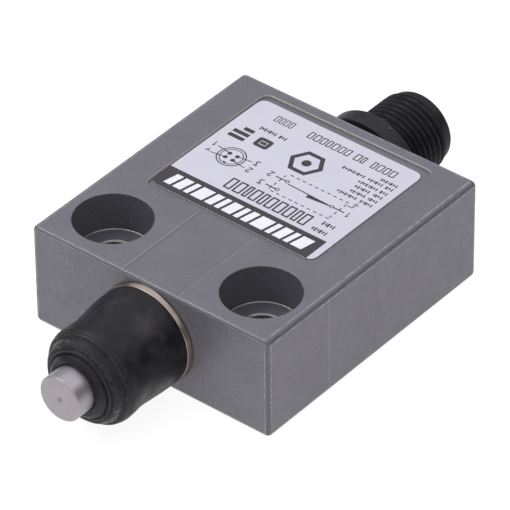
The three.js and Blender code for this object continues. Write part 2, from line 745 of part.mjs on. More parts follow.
// Each lead runs from a terminal's end, or the ground tag, to the back of a connector pin.
const LEAD_ROUTES = {
  lead_common: [
    [TERMINAL_X.common + STRIP_THICKNESS / 2, WIRE_START, AXIS_HEIGHT],
    [-7.4, 28.7, 7.6],
    [-5, 29, 6.6],
    [-2.4, 28.9, LOW],
    [-PIN_CIRCLE_OFFSET, CUP, LOW],
  ],
  lead_normally_open: [
    [OPEN_STRIP_X + STRIP_THICKNESS / 2, WIRE_START, AXIS_HEIGHT],
    [0.2, 28.3, 8.4],
    [-1.2, 29, 9.3],
    [-PIN_CIRCLE_OFFSET, CUP, HIGH],
  ],
  lead_normally_closed: [
    [CLOSED_STRIP_X + STRIP_THICKNESS / 2, WIRE_START, AXIS_HEIGHT],
    [8.2, 28.7, 7.6],
    [5.4, 29, 6.6],
    [2.4, 28.9, LOW],
    [PIN_CIRCLE_OFFSET, CUP, LOW],
  ],
  lead_ground: [
    [GROUND_X - TAG_TAIL - JOINT_GAP, GROUND_Y, GROUND_BOSS_BOTTOM - GROUND_TAG_THICKNESS / 2],
    [7.4, 28.9, 9.3],
    [4.6, 28.7, 10],
    [2.5, 28.9, HIGH],
    [PIN_CIRCLE_OFFSET, CUP, HIGH],
  ],
};

function lead(route) {
  const curve = new THREE.CatmullRomCurve3(route.map((point) => new THREE.Vector3(...point)));
  return wireAlong(curve, LEAD_RADIUS, LEAD_STEPS);
}

// ---------------------------------------------------------------- connector

function threadProfile() {
  const profile = [];
  for (let turn = 0; turn < THREAD_TURNS; turn += 1) {
    const y = THREAD_START + turn * THREAD_PITCH;
    profile.push([THREAD_ROOT, y], [THREAD_CREST, y + THREAD_PITCH / 2]);
  }
  return profile;
}

function connectorShell() {
  const bore = INSERT_RADIUS + RUNNING_GAP;
  const body = turned([
    [bore, SPIGOT_START],
    [SPIGOT_RADIUS, SPIGOT_START],
    [SPIGOT_RADIUS, BACK + RUNNING_GAP],
    [HUB_RADIUS, BACK + RUNNING_GAP],
    [HUB_RADIUS, COLLAR_START],
    [COLLAR_RADIUS, COLLAR_START],
    [COLLAR_RADIUS, COLLAR_END],
    [THREAD_ROOT, COLLAR_END],
    ...threadProfile(),
    [LEAD_IN_RADIUS, CONNECTOR_END],
    [SOCKET_RADIUS, CONNECTOR_END],
    [SOCKET_RADIUS, SOCKET_FLOOR],
    [bore, SOCKET_FLOOR],
  ]);
  const key = block(
    [-KEY_WIDTH / 2, INSERT_FACE + STATIC_GAP, SOCKET_RADIUS - KEY_HEIGHT],
    [KEY_WIDTH / 2, KEY_END, SOCKET_RADIUS + STATIC_GAP],
  );
  return join(body, key);
}

const PIN_PLACES = [[-1, 1], [-1, -1], [1, -1], [1, 1]].map(([x, z]) => (
  [x * PIN_CIRCLE_OFFSET, 0, z * PIN_CIRCLE_OFFSET]
));

function connectorInsert() {
  const body = turned([
    [0, INSERT_START],
    [INSERT_RADIUS, INSERT_START],
    [INSERT_RADIUS, SOCKET_FLOOR + RUNNING_GAP],
    [SOCKET_RADIUS - RUNNING_GAP, SOCKET_FLOOR + RUNNING_GAP],
    [SOCKET_RADIUS - RUNNING_GAP, INSERT_FACE],
    [0, INSERT_FACE],
  ]);
  const holeRadius = CONTACT_PIN_RADIUS + RUNNING_GAP;
  const holes = PIN_PLACES.map((place) => (
    rod(holeRadius, INSERT_START - OVERSHOOT, INSERT_FACE + OVERSHOOT, COARSE).translate(place)
  ));
  return cut(body, ...holes);
}

function connectorPin(place) {
  const tipLength = 0.4;
  const cupEnd = INSERT_START - STATIC_GAP;
  return turned([
    [0, SOLDER_CUP_START],
    [SOLDER_CUP_RADIUS, SOLDER_CUP_START],
    [SOLDER_CUP_RADIUS, cupEnd],
    [CONTACT_PIN_RADIUS, cupEnd],
    [CONTACT_PIN_RADIUS, CONTACT_PIN_END - tipLength],
    [CONTACT_PIN_RADIUS / 2, CONTACT_PIN_END],
    [0, CONTACT_PIN_END],
  ], COARSE).translate(place);
}

function connectorNut() {
  const corner = NUT_ACROSS_FLATS / Math.sqrt(3);
  const hexagon = rod(corner, NUT_START, NUT_END, 6).rotate([0, 30, 0]);
  return cut(hexagon, rod(SPIGOT_RADIUS + RUNNING_GAP, NUT_START - OVERSHOOT, NUT_END + OVERSHOOT));
}

function connectorSeal() {
  return torus(CONNECTOR_SEAL_RADIUS, CONNECTOR_SEAL_WIRE, (BACK + COLLAR_START) / 2);
}

// ---------------------------------------------------------------- assembly

function material(color, roughness, metalness) {
  return new THREE.MeshStandardMaterial({ color, roughness, metalness });
}

const castMetal = () => material(0x7a7a80, 0.55, 0.35);
const plating = () => material(0xb5a48f, 0.3, 0.9);
const stainless = () => material(0xa9a5a8, 0.35, 0.9);
const springSteel = () => material(0x8f9296, 0.35, 0.9);
const blackRubber = () => material(0x242428, 0.75, 0);
const blackPlastic = () => material(0x2b2b30, 0.6, 0);
const whitePlastic = () => material(0xd8d6cc, 0.5, 0);
const redPlastic = () => material(0x9c2f26, 0.45, 0);
const copperAlloy = () => material(0xb98a4a, 0.35, 0.9);
const silver = () => material(0xd5d5d8, 0.3, 1);
const gold = () => material(0xd9b45a, 0.25, 1);
const paperWhite = () => material(0xd9d6e2, 0.5, 0);
const insulation = (color) => material(color, 0.5, 0);

function piece(name, solid, look) {
  const mesh = new THREE.Mesh(geometryFrom(solid), look);
  mesh.name = name;
  return mesh;
}

const assembly = new THREE.Group();
assembly.add(
  piece('housing', housing(), castMetal()),
  piece('rear_cover', rearCover(), castMetal()),
  piece('cover_gasket', coverGasket(), blackRubber()),
  piece('insulating_liner', insulatingLiner(), whitePlastic()),
  piece('switch_case', switchCase(), redPlastic()),
  piece('switch_cover', switchCover(), redPlastic()),
  piece('switch_screw_left', switchScrew(CASE_SCREW_X[0]), stainless()),
  piece('switch_screw_right', switchScrew(CASE_SCREW_X[1]), stainless()),
  piece('common_terminal', commonTerminal(), copperAlloy()),
  piece('normally_open_terminal', openTerminal(), copperAlloy()),
  piece('normally_closed_terminal', closedTerminal(), copperAlloy()),
  piece('contact_blade', contactBlade(), copperAlloy()),
  piece('ground_tag', groundTag(), silver()),
  piece('ground_screw', groundScrew(), stainless()),
  piece('lead_common', lead(LEAD_ROUTES.lead_common), insulation(0x2a2a2c)),
  piece('lead_normally_open', lead(LEAD_ROUTES.lead_normally_open), insulation(0x2c4fa0)),
  piece('lead_normally_closed', lead(LEAD_ROUTES.lead_normally_closed), insulation(0xa03028)),
  piece('lead_ground', lead(LEAD_ROUTES.lead_ground), insulation(0x3a7d3a)),
);

const labelMesh = piece('label', label(), paperWhite());
labelMesh.position.set(LABEL_X, LABEL_Y, HEIGHT - RECESS_DEPTH + ADHESIVE_THICKNESS);
labelMesh.rotation.z = LABEL_TURN;
assembly.add(labelMesh);

// Everything turned round the plunger and connector axis.
const onAxis = new THREE.Group();
onAxis.position.z = AXIS_HEIGHT;
onAxis.add(
  piece('head_bushing', headBushing(), plating()),
  piece('boot', boot(), blackRubber()),
  piece('plunger_pin', plungerPin(), stainless()),
  piece('plunger_seal', plungerSeal(), blackRubber()),
  piece('return_spring', returnSpring(), springSteel()),
  piece('overtravel_spring', overtravelSpring(), springSteel()),
  piece('actuator_rod', actuatorRod(), stainless()),
  piece('rod_guide', rodGuide(), whitePlastic()),
  piece('switch_button', switchButton(), whitePlastic()),
  piece('moving_contact', movingContact(), silver()),
  piece('normally_closed_contact', closedContact(), silver()),
  piece('normally_open_contact', openContact(), silver()),
  piece('connector_shell', connectorShell(), blackPlastic()),
  piece('connector_insert', connectorInsert(), blackPlastic()),
  piece('connector_nut', connectorNut(), plating()),
  piece('connector_seal', connectorSeal(), blackRubber()),
  ...PIN_PLACES.map((place, i) => piece(`connector_pin_${i + 1}`, connectorPin(place), gold())),
);
assembly.add(onAxis);

export default assembly;
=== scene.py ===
"""The looks of a compact limit switch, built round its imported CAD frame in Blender.

The frame is in metres; the sizes written here are in millimetres. X runs across the two screw
holes, +Y from the plunger to the connector and +Z out of the label, as in the CAD.
"""

import math

import bmesh
import bpy
from mathutils import Matrix, Quaternion, Vector


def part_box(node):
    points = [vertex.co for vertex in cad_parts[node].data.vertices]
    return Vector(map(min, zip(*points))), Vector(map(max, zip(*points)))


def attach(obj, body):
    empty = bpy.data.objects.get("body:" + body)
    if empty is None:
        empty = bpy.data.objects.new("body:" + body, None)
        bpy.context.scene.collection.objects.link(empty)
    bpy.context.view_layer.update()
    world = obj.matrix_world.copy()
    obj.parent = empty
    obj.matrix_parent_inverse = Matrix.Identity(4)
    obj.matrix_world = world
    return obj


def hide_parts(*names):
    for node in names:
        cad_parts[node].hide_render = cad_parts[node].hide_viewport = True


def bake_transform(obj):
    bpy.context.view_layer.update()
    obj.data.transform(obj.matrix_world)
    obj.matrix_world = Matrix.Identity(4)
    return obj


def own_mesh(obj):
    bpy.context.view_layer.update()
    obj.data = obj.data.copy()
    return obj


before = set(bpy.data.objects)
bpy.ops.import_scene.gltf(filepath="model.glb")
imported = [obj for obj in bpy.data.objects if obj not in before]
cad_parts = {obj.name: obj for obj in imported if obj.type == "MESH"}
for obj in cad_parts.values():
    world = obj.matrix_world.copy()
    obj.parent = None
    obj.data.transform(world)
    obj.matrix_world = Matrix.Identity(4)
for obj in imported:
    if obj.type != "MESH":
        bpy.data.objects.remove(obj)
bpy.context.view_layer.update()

# -------- sizes from the frame

MM = 0.001


def box_mm(node):
    """The lowest and highest corner of a CAD node, in millimetres."""
    low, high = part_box(node)
    return low / MM, high / MM


HOUSING_LOW, HOUSING_HIGH = box_mm("housing")
LABEL_LOW, LABEL_HIGH = box_mm("label")
COVER_LOW, COVER_HIGH = box_mm("rear_cover")
GASKET_LOW, GASKET_HIGH = box_mm("cover_gasket")
BUSHING_LOW, BUSHING_HIGH = box_mm("head_bushing")
BOOT_LOW, BOOT_HIGH = box_mm("boot")
PIN_LOW, PIN_HIGH = box_mm("plunger_pin")
SHELL_LOW, SHELL_HIGH = box_mm("connector_shell")
INSERT_LOW, INSERT_HIGH = box_mm("connector_insert")
CONTACT_LOW, CONTACT_HIGH = box_mm("connector_pin_1")

FRONT = HOUSING_LOW.y
BACK = HOUSING_HIGH.y
HALF_WIDTH = HOUSING_HIGH.x
HEIGHT = HOUSING_HIGH.z
AXIS_Z = HEIGHT / 2                  # height of the plunger's and the connector's axis

# -------- driving dimensions

GAP = 0.1                            # between pieces that are fixed to each other
PLAY = 0.05                          # round a sliding pin
OVERSHOOT = 1.0                      # how far a cutter runs past the face it opens
SHARPEST_CORNER = 0.02

# housing
EDGE_RADIUS = {"front_top": 0.45, "top": 0.9, "upright": 0.75, "bottom": 0.7}
EDGE_SEGMENTS = 6
HOLE_X = 12.7
HOLE_RADIUS = 2.9
COUNTERBORE_RADIUS = 5.5
COUNTERBORE_DEPTH = 6.0
RIM_ROUNDING = 0.18                  # of the counterbore's mouth
SEAT_ROUNDING = 0.22                 # where its wall meets the screw seat
HOLE_CHAMFER = 0.2
RECESS_HALF_WIDTH = 14.45
RECESS_START = 8.7
RECESS_END = 34.5
RECESS_DEPTH = 0.4
RECESS_CORNER = 1.3
RECESS_ROUNDING = 0.28
PAD_END = 12.1
PAD_RAMP = 1.4
PAD_STEP = 0.13
CAVITY_HALF_WIDTH = 16.4
CAVITY_START = 14.6
CAVITY_END = 33.4
CAVITY_ROOF = 14.1
CAVITY_CORNER = 1.5
SHELF_WIDTH = 1.8
SHELF_HEIGHT = GASKET_HIGH.z
POCKET_ROUNDING = 0.25
CONNECTOR_HOLE_RADIUS = 4.5
CAST_LINE_X = 4.75                   # two faint lines left by the die on the top
SIDE_LINES = [                       # and on the sides: y, half width, strength, colour
    (4.8, 0.35, 0.11, (0.4, 0.39, 0.41)),
    (14.7, 0.16, 0.3, (0.08, 0.08, 0.085)),
]

# plunger head
FLANGE_THICKNESS = 1.0
FLANGE_RADIUS = BUSHING_HIGH.x
FLANGE_TAPER = 0.15                  # its rim narrows towards the front
SHANK_RADIUS = 5.8
NOSE_RADIUS = 5.2
BEAD_RADIUS = 4.7
BEAD_START = -11.0
BEAD_END = -9.8
CHAMBER_RADIUS = 5.0
GUIDE_HOLE_RADIUS = 2.6
GUIDE_SEAT = 12.4
PIN_RADIUS = 3.4
PIN_CHAMFER = 0.2
SHOULDER_RADIUS = PIN_HIGH.x
SHOULDER_FRONT = PIN_HIGH.y - 1.6
BOOT_DUST_AND_SHEEN = (4.0, -13.4, 14.2)     # a dusty patch on the boot's upper right, painted pale in part as the highlight that falls there
NECK_RADIUS = 2.8
NECK_START = -22.5
NECK_END = -21.7
SEAL_WIRE = 0.7                      # half the thickness of the ring seal round the pin
SEAL_RADIUS = PIN_RADIUS + 0.04 + SEAL_WIRE
SEAL_Y = -4.0

# connector
COLLAR_RADIUS = SHELL_HIGH.x
COLLAR_START = BACK + 0.6
COLLAR_END = 40.2
HUB_RADIUS = 5.0
FLANGE_SEAL_RADIUS = 5.4             # of the ring seal between the connector and the housing
FLANGE_SEAL_WIRE = 0.29
FLANGE_SEAL_Y = (BACK + COLLAR_START) / 2
SPIGOT_RADIUS = 4.4
THREAD_CREST = 5.95
THREAD_ROOT = 5.3
THREAD_PITCH = 1.0
THREAD_START = 40.64
THREAD_END = 48.85
END_BAND_RADIUS = 5.48               # the plain band between the thread and the rim
LEAD_IN_START = 50.2
LEAD_IN_RADIUS = 5.3
SOCKET_RADIUS = 4.4
SOCKET_FLOOR = 42.3
INSERT_RADIUS = 3.55
INSERT_FACE = INSERT_HIGH.y
KEY_WIDTH = 1.1
KEY_HEIGHT = 0.7
KEY_END = 49.8
CONTACT_OFFSET = 1.66
CONTACT_RADIUS = 0.5

# -------- mesh tools


def clamp(value):
    return min(1.0, max(0.0, value))


def turns(count):
    """Angles spread evenly round a circle."""
    return [2 * math.pi * i / count for i in range(count)]


def quarter(steps):
    """Angles from 0 to a right angle."""
    return [math.pi / 2 * i / steps for i in range(steps + 1)]


def rounded(points, steps=5):
    """A closed outline in which each corner (a, b, rounding) has become a short curve."""
    outline = []
    for i, corner in enumerate(points):
        here = Vector(corner[:2])
        rounding = corner[2] if len(corner) > 2 else 0
        if rounding <= 0:
            outline.append(here)
            continue
        before = Vector(points[i - 1][:2]) - here
        after = Vector(points[(i + 1) % len(points)][:2]) - here
        half_angle = before.angle(after) / 2
        reach = min(rounding / math.tan(half_angle), 0.49 * before.length, 0.49 * after.length)
        start = here + before.normalized() * reach
        end = here + after.normalized() * reach
        for step in range(steps + 1):
            t = step / steps
            outline.append((1 - t) ** 2 * start + 2 * t * (1 - t) * here + t * t * end)
    return outline


def rectangle(x0, y0, x1, y1, corner, margin=0.0):
    """A rectangle with round corners; a margin grows it on every side."""
    x0, y0, x1, y1 = x0 - margin, y0 - margin, x1 + margin, y1 + margin
    corner = max(SHARPEST_CORNER, corner + margin)
    corners = [(x0, y0, corner), (x1, y0, corner), (x1, y1, corner), (x0, y1, corner)]
    return rounded(corners, steps=6)


def smooth_curve(points, steps=6):
    """A Catmull-Rom curve through the points, from the first to the last."""
    points = [Vector(point) for point in points]
    padded = [2 * points[0] - points[1], *points, 2 * points[-1] - points[-2]]
    curve = []
    for a, b, c, d in zip(padded, padded[1:], padded[2:], padded[3:]):
        for step in range(steps):
            t = step / steps
            curve.append(0.5 * (
                2 * b + (c - a) * t
                + (2 * a - 5 * b + 4 * c - d) * t ** 2
                + (3 * b - a - 3 * c + d) * t ** 3
            ))
    curve.append(points[-1])
    return curve


def add_object(name, bm):
    """Makes an object of a bmesh that is in millimetres."""
    bmesh.ops.recalc_face_normals(bm, faces=bm.faces)
    bmesh.ops.scale(bm, vec=(MM, MM, MM), verts=bm.verts)
    mesh = bpy.data.meshes.new(name)
    bm.to_mesh(mesh)
    bm.free()
    obj = bpy.data.objects.new(name, mesh)
    bpy.context.scene.collection.objects.link(obj)
    return obj


def bridge(bm, ring, following, closed=True):
    """Faces between two rows of vertices; a row of one vertex is a pole."""
    count = max(len(ring), len(following))
    for i in range(count if closed else count - 1):
        j = (i + 1) % count
        if len(ring) == 1:
            bm.faces.new((ring[0], following[j], following[i]))
        elif len(following) == 1:
            bm.faces.new((ring[i], ring[j], following[0]))
        else:
            bm.faces.new((ring[i], ring[j], following[j], following[i]))


def skin(name, rows, looped=False):
    """A solid over rows of points. Its end rows are capped, or the last joins the first."""
    bm = bmesh.new()
    rows = [[bm.verts.new(point) for point in row] for row in rows]
    for row, following in zip(rows, rows[1:] + rows[:1] if looped else rows[1:]):
        bridge(bm, row, following)
    for end in () if looped else (rows[0], rows[-1]):
        if len(end) > 1:
            bm.faces.new(end)
    return add_object(name, bm)


def turned(name, profile, sides=96, centre=(0, AXIS_Z), relief=None, solid=False):
    """A body turned round an axis along Y. The profile is a closed loop of (radius, y) points, or
    the outside of a solid that reaches the axis. A relief changes a radius by its angle."""
    if solid:
        profile = [(0, profile[0][1]), *profile, (0, profile[-1][1])]
    rings = []
    for radius, y in profile:
        ring = []
        for angle in turns(sides) if radius > 0 else [0]:
            reach = relief(radius, y, angle) if relief else radius
            ring.append((centre[0] + reach * math.sin(angle), y, centre[1] + reach * math.cos(angle)))
        rings.append(ring)
    return skin(name, rings, looped=not solid)


def upright(name, profile, x, y):
    """A solid turned round an upright axis at (x, y). The profile lists (radius, z)."""
    obj = turned(name, profile, centre=(0, 0), solid=True)
    obj.data.transform(Matrix.Translation((x * MM, y * MM, 0)) @ Matrix.Rotation(math.pi / 2, 4, "X"))
    return obj


def stacked(name, sections):
    """A solid lofted through (outline, z) sections that have the same number of points."""
    return skin(name, [[(*point, z) for point in outline] for outline, z in sections])


def swept(name, path, radius, sides=10):
    """A round wire along a list of points."""
    across = Vector((0, 0, 1))
    rings = []
    for i, point in enumerate(path):
        ahead = (path[min(i + 1, len(path) - 1)] - path[max(i - 1, 0)]).normalized()
        across = (across - across.project(ahead)).normalized()
        side = ahead.cross(across)
        rings.append([
            point + radius * (math.cos(t) * across + math.sin(t) * side) for t in turns(sides)
        ])
    return skin(name, rings)


def apply_modifiers(obj):
    graph = bpy.context.evaluated_depsgraph_get()
    result = bpy.data.meshes.new_from_object(obj.evaluated_get(graph))
    obj.modifiers.clear()
    obj.data = result


def combine(target, operation, others):
    """Joins other solids to the target, or cuts them out of it, and removes them."""
    for other in others:
        modifier = target.modifiers.new(operation, "BOOLEAN")
        modifier.operation = operation
        modifier.solver = "MANIFOLD"
        modifier.object = other
    apply_modifiers(target)
    for other in others:
        bpy.data.objects.remove(other)


def shade(obj, sharp_angle):
    """Smooth shading with crisp creases."""
    obj.data.shade_smooth()
    obj.data.set_sharp_from_angle(angle=math.radians(sharp_angle))
    weighting = obj.modifiers.new("normals", "WEIGHTED_NORMAL")
    weighting.keep_sharp = True


def paint(obj, material):
    if not obj.material_slots:
        obj.data.materials.append(material)
    for slot in obj.material_slots:
        slot.material = material


def finish_piece(obj, body, material, replaced, sharp_angle=32):
    """Gives a new piece its shading, material and body, and hides the CAD nodes it stands for."""
    shade(obj, sharp_angle)
    paint(obj, material)
    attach(obj, body)
    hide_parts(*replaced)


# -------- material tools


class Nodes:
    """Shader nodes built by nested calls. A value is a number, a tuple or another node's output."""

    def __init__(self, tree):
        self.tree = tree

    def node(self, kind, **settings):
        node = self.tree.nodes.new(kind)
        for key, value in settings.items():
            setattr(node, key, value)
        return node

    def feed(self, socket, value):
        if isinstance(value, bpy.types.NodeSocket):
            self.tree.links.new(value, socket)
        elif isinstance(value, tuple):
            socket.default_value = (*value, 1.0) if len(value) == 3 and socket.type == "RGBA" else value
        else:
            socket.default_value = value

    def math(self, operation, a, b=0.0):
        node = self.node("ShaderNodeMath", operation=operation)
        self.feed(node.inputs[0], a)
        self.feed(node.inputs[1], b)
        return node.outputs[0]

    def times(self, first, *others):
        product = first
        for factor in others:
            product = self.math("MULTIPLY", product, factor)
        return product

    def band(self, value, low, high, to_low=0.0, to_high=1.0):
        """Carries low..high to to_low..to_high smoothly, and holds it there outside."""
        node = self.node("ShaderNodeMapRange", interpolation_type="SMOOTHSTEP")
        for socket, number in zip(node.inputs[:5], (value, low, high, to_low, to_high)):
            self.feed(socket, number)
        return node.outputs[0]

    def along(self, direction, axis):
        """How far a direction points along an axis, from -1 to 1."""
        node = self.node("ShaderNodeVectorMath", operation="DOT_PRODUCT")
        self.feed(node.inputs[0], direction)
        self.feed(node.inputs[1], axis)
        return node.outputs["Value"]


class Surface(Nodes):
    """A node material under construction. Patterns are laid out in millimetres of the frame."""

    def __init__(self, name, metallic=0.0):
        self.material = bpy.data.materials.new(name)
        self.material.use_nodes = True
        super().__init__(self.material.node_tree)
        self.shader = self.tree.nodes["Principled BSDF"]
        self.shader.inputs["Metallic"].default_value = metallic
        place = self.node("ShaderNodeTexCoord")
        self.place = self.tint(place.outputs["Object"], 1 / MM)

    def plus(self, a, b):
        return self.math("ADD", a, b)

    def apart(self, a, b):
        """How far two values are from each other."""
        return self.math("ABSOLUTE", self.math("SUBTRACT", a, b))

    def axis(self, name):
        """One coordinate of the place: X, Y or Z."""
        split = self.node("ShaderNodeSeparateXYZ")
        self.feed(split.inputs[0], self.place)
        return split.outputs[name]

    def radius(self):
        """The distance from the plunger's and the connector's axis."""
        x = self.axis("X")
        z = self.math("SUBTRACT", self.axis("Z"), AXIS_Z)
        return self.math("SQRT", self.plus(self.times(x, x), self.times(z, z)))

    def near(self, point, reach):
        """1 at a point, falling to 0 at this distance from it."""
        node = self.node("ShaderNodeVectorMath", operation="DISTANCE")
        self.feed(node.inputs[0], self.place)
        self.feed(node.inputs[1], point)
        return self.band(node.outputs["Value"], 0.0, reach, 1.0, 0.0)

    def noise(self, size, detail=2.0, stretch=(1, 1, 1), roughness=0.5, offset=0.0):
        """Fractal noise from 0 to 1 with features of this size."""
        mapping = self.node("ShaderNodeMapping")
        self.feed(mapping.inputs["Vector"], self.place)
        self.feed(mapping.inputs["Scale"], stretch)
        self.feed(mapping.inputs["Location"], (offset, offset, offset))
        noise = self.node("ShaderNodeTexNoise")
        self.feed(noise.inputs["Vector"], mapping.outputs[0])
        self.feed(noise.inputs["Scale"], 1 / size)
        self.feed(noise.inputs["Detail"], detail)
        self.feed(noise.inputs["Roughness"], roughness)
        return noise.outputs["Fac"]

    def rings(self, along, size):
        """Noise that changes only along one measure, as the marks of a lathe do."""
        noise = self.node("ShaderNodeTexNoise", noise_dimensions="1D")
        self.feed(noise.inputs["W"], along)
        self.feed(noise.inputs["Scale"], 1 / size)
        self.feed(noise.inputs["Detail"], 3.0)
        return noise.outputs["Fac"]

    def spread(self, noise, low=0.0, high=1.0):
        """Carries the range that a noise mostly keeps to, to low..high."""
        return self.band(noise, 0.3, 0.7, low, high)

    def mix(self, factor, a, b):
        node = self.node("ShaderNodeMix", data_type="RGBA")
        self.feed(node.inputs["Factor"], factor)
        self.feed(node.inputs[6], a)
        self.feed(node.inputs[7], b)
        return node.outputs[2]

    def stain(self, base, colour, *shares):
        """The base with a colour over it, as strong as the product of the shares."""
        return self.mix(self.times(*shares), base, colour)

    def tint(self, colour, amount):
        """A colour made lighter or darker by a value round 1."""
        scale = self.node("ShaderNodeVectorMath", operation="SCALE")
        self.feed(scale.inputs[0], colour)
        self.feed(scale.inputs["Scale"], amount)
        return scale.outputs["Vector"]

    def attribute(self, name):
        return self.node("ShaderNodeAttribute", attribute_name=name).outputs["Fac"]

    def set(self, **sockets):
        for name, value in sockets.items():
            self.feed(self.shader.inputs[name.replace("_", " ")], value)

    def finished(self, colour, roughness, height, depth, **others):
        """The material, with a relief of this depth in millimetres where the height goes from 0 to 1."""
        bump = self.node("ShaderNodeBump")
        self.feed(bump.inputs["Height"], height)
        self.feed(bump.inputs["Distance"], depth * MM)
        self.set(Base_Color=colour, Roughness=roughness, Normal=bump.outputs[0], **others)
        return self.material


# -------- materials

CAST_GREY = Vector((0.146, 0.14, 0.161))
# pale specks and worn edges, and also painted highlights on the edges and on the die's ridges
PALE_MARK_AND_SHEEN = (0.42, 0.41, 0.4)


def cast_wear_and_painted_light(s, base):
    """Rounded edges darkened by painted shade, with a pale, ragged border that is partly wear and partly
    a painted highlight, and a painted highlight on the rim of the label recess.
    """
    edge = s.attribute("edge")
    ragged = s.noise(0.6, detail=3, offset=3)
    # painted shade darkens the rounded edges, broken up by a ragged noise
    dark = s.times(s.band(edge, 0.08, 0.5), s.band(ragged, 0.2, 0.6, 0.2, 0.5))
    # a pale line along each edge, partly wear and partly a painted highlight
    border = s.times(s.band(edge, 0.0, 0.05), s.band(edge, 0.2, 0.08))
    base = s.stain(base, (0.07, 0.068, 0.075), dark)
    base = s.stain(base, PALE_MARK_AND_SHEEN, border, s.band(ragged, 0.35, 0.62, 0.08, 0.46))
    # a painted highlight along the label recess's far and left rim
    return s.stain(base, (0.36, 0.34, 0.3), s.attribute("painted_rim_highlight"), 0.4)


def cast_lines(s, base):
    """The lines that the die has left, and how high the ones on the top stand. Each ridge on the top is
    painted pale as a painted highlight, with a painted shadow beside it.
    """
    on_top = s.band(s.axis("Z"), HEIGHT - 0.1, HEIGHT - 0.02)
    before_recess = s.band(s.axis("Y"), RECESS_START, RECESS_START - 0.6)
    where = s.times(on_top, before_recess, s.band(s.axis("X"), -2, 2, 1.0, 0.55))
    from_middle = s.math("ABSOLUTE", s.axis("X"))
    ridge = s.times(where, s.band(s.apart(from_middle, CAST_LINE_X), 0.14, 0.03))
    shadow = s.times(where, s.band(s.apart(from_middle, CAST_LINE_X - 0.3), 0.32, 0.06))
    # painted shadow beside each ridge on the top
    base = s.stain(base, (0.085, 0.085, 0.095), shadow, 0.42)
    # painted highlight on the ridge
    base = s.stain(base, PALE_MARK_AND_SHEEN, ridge, 0.26)
    on_side = s.band(from_middle, HALF_WIDTH - 0.1, HALF_WIDTH - 0.02)
    for y, width, strength, colour in SIDE_LINES:
        line = s.band(s.apart(s.axis("Y"), y), width, width / 3)
        base = s.stain(base, colour, line, on_side, strength)
    return base, ridge


def cast_metal(name, shade_of_grey=1.0):
    """Satin grey die casting: grain, blotches, pale specks, dark pits, wear and the die's lines, with
    painted shade on the edges and in the counterbores and painted highlights on the edges and the recess
    rim.
    """
    s = Surface(name, metallic=0.25)
    grain = s.noise(0.2, detail=3, roughness=0.7)
    blotch = s.noise(5.5, detail=3, offset=7)
    speck = s.band(s.noise(0.5, detail=1, offset=31), 0.75, 0.8)
    pit = s.band(s.noise(0.6, detail=2, offset=44), 0.24, 0.2)
    tone = s.plus(s.band(grain, 0.28, 0.72, 0.76, 1.24), s.spread(blotch, -0.045, 0.045))
    base = s.tint(tuple(CAST_GREY * shade_of_grey), tone)
    base = s.stain(base, PALE_MARK_AND_SHEEN, speck, 0.3)
    base = s.stain(base, (0.06, 0.06, 0.065), pit, 0.5)
    base, ridge = cast_lines(s, cast_wear_and_painted_light(s, base))
    # painted shade: the counterbores' walls and floors darkened
    base = s.tint(base, s.band(s.attribute("hole"), 0.0, 1.0, 1.0, 0.82))
    roughness = s.spread(s.noise(1.6, detail=3, offset=12), 0.38, 0.48)
    relief = s.plus(s.times(grain, 0.8), s.times(ridge, 0.6))
    return s.finished(base, roughness, relief, 0.004)


def grained(name, colour, size, shades, sheens, depth, stretch=(1, 1, 1), detail=2.0, metallic=0.0):
    """A material with one grain, which its shade, its roughness and its relief all follow."""
    s = Surface(name, metallic)
    grain = s.noise(size, detail, stretch)
    return s.finished(s.tint(colour, s.spread(grain, *shades)), s.spread(grain, *sheens), grain, depth)


def machined_metal():
    """Bare zinc where a drill or a counterbore has cut the casting."""
    return grained("machined_metal", (0.25, 0.24, 0.225), 0.12, (0.8, 1.15), (0.28, 0.42), 0.01,
                   stretch=(1, 1, 4), metallic=0.9)


def boot_rubber():
    """Black rubber with a dusty bloom, scuffed where its rims stand out, and a dusty patch on its upper
    right painted pale in part as a highlight.
    """
    s = Surface("boot_rubber")
    bloom = s.noise(2.2, detail=5, offset=5)
    fine = s.noise(0.22, detail=3, roughness=0.7)
    dust = s.times(s.band(s.noise(3.2, detail=5, offset=17), 0.5, 0.72), s.band(fine, 0.42, 0.72))
    dust_and_sheen_patch = s.band(s.noise(0.16, detail=4, roughness=0.75, offset=51), 0.4, 0.68, 0.25, 1.0)
    patches = s.band(s.noise(1.3, offset=43), 0.32, 0.5)
    flecks = s.band(s.noise(0.26, detail=4, offset=23), 0.46, 0.6)
    base = s.mix(s.band(bloom, 0.35, 0.75), (0.0055, 0.0053, 0.0078), (0.014, 0.0134, 0.0185))
    base = s.stain(base, (0.085, 0.07, 0.063), dust, 0.5)
    # dust on the upper right, painted pale in part as a highlight
    base = s.stain(base, (0.085, 0.07, 0.063), s.near(BOOT_DUST_AND_SHEEN, 2.6), dust_and_sheen_patch, 0.5)
    base = s.stain(base, (0.26, 0.26, 0.25), s.attribute("edge"), flecks, patches, 0.9)
    relief = s.plus(s.times(fine, 0.5), bloom)
    return s.finished(base, s.spread(bloom, 0.36, 0.6), relief, 0.02, Specular_IOR_Level=0.26)


def seal_rubber():
    s = Surface("seal_rubber")
    fine = s.noise(0.2, detail=3)
    colour = s.mix(s.spread(fine), (0.012, 0.012, 0.013), (0.024, 0.023, 0.024))
    return s.finished(colour, s.spread(fine, 0.5, 0.68), fine, 0.015)


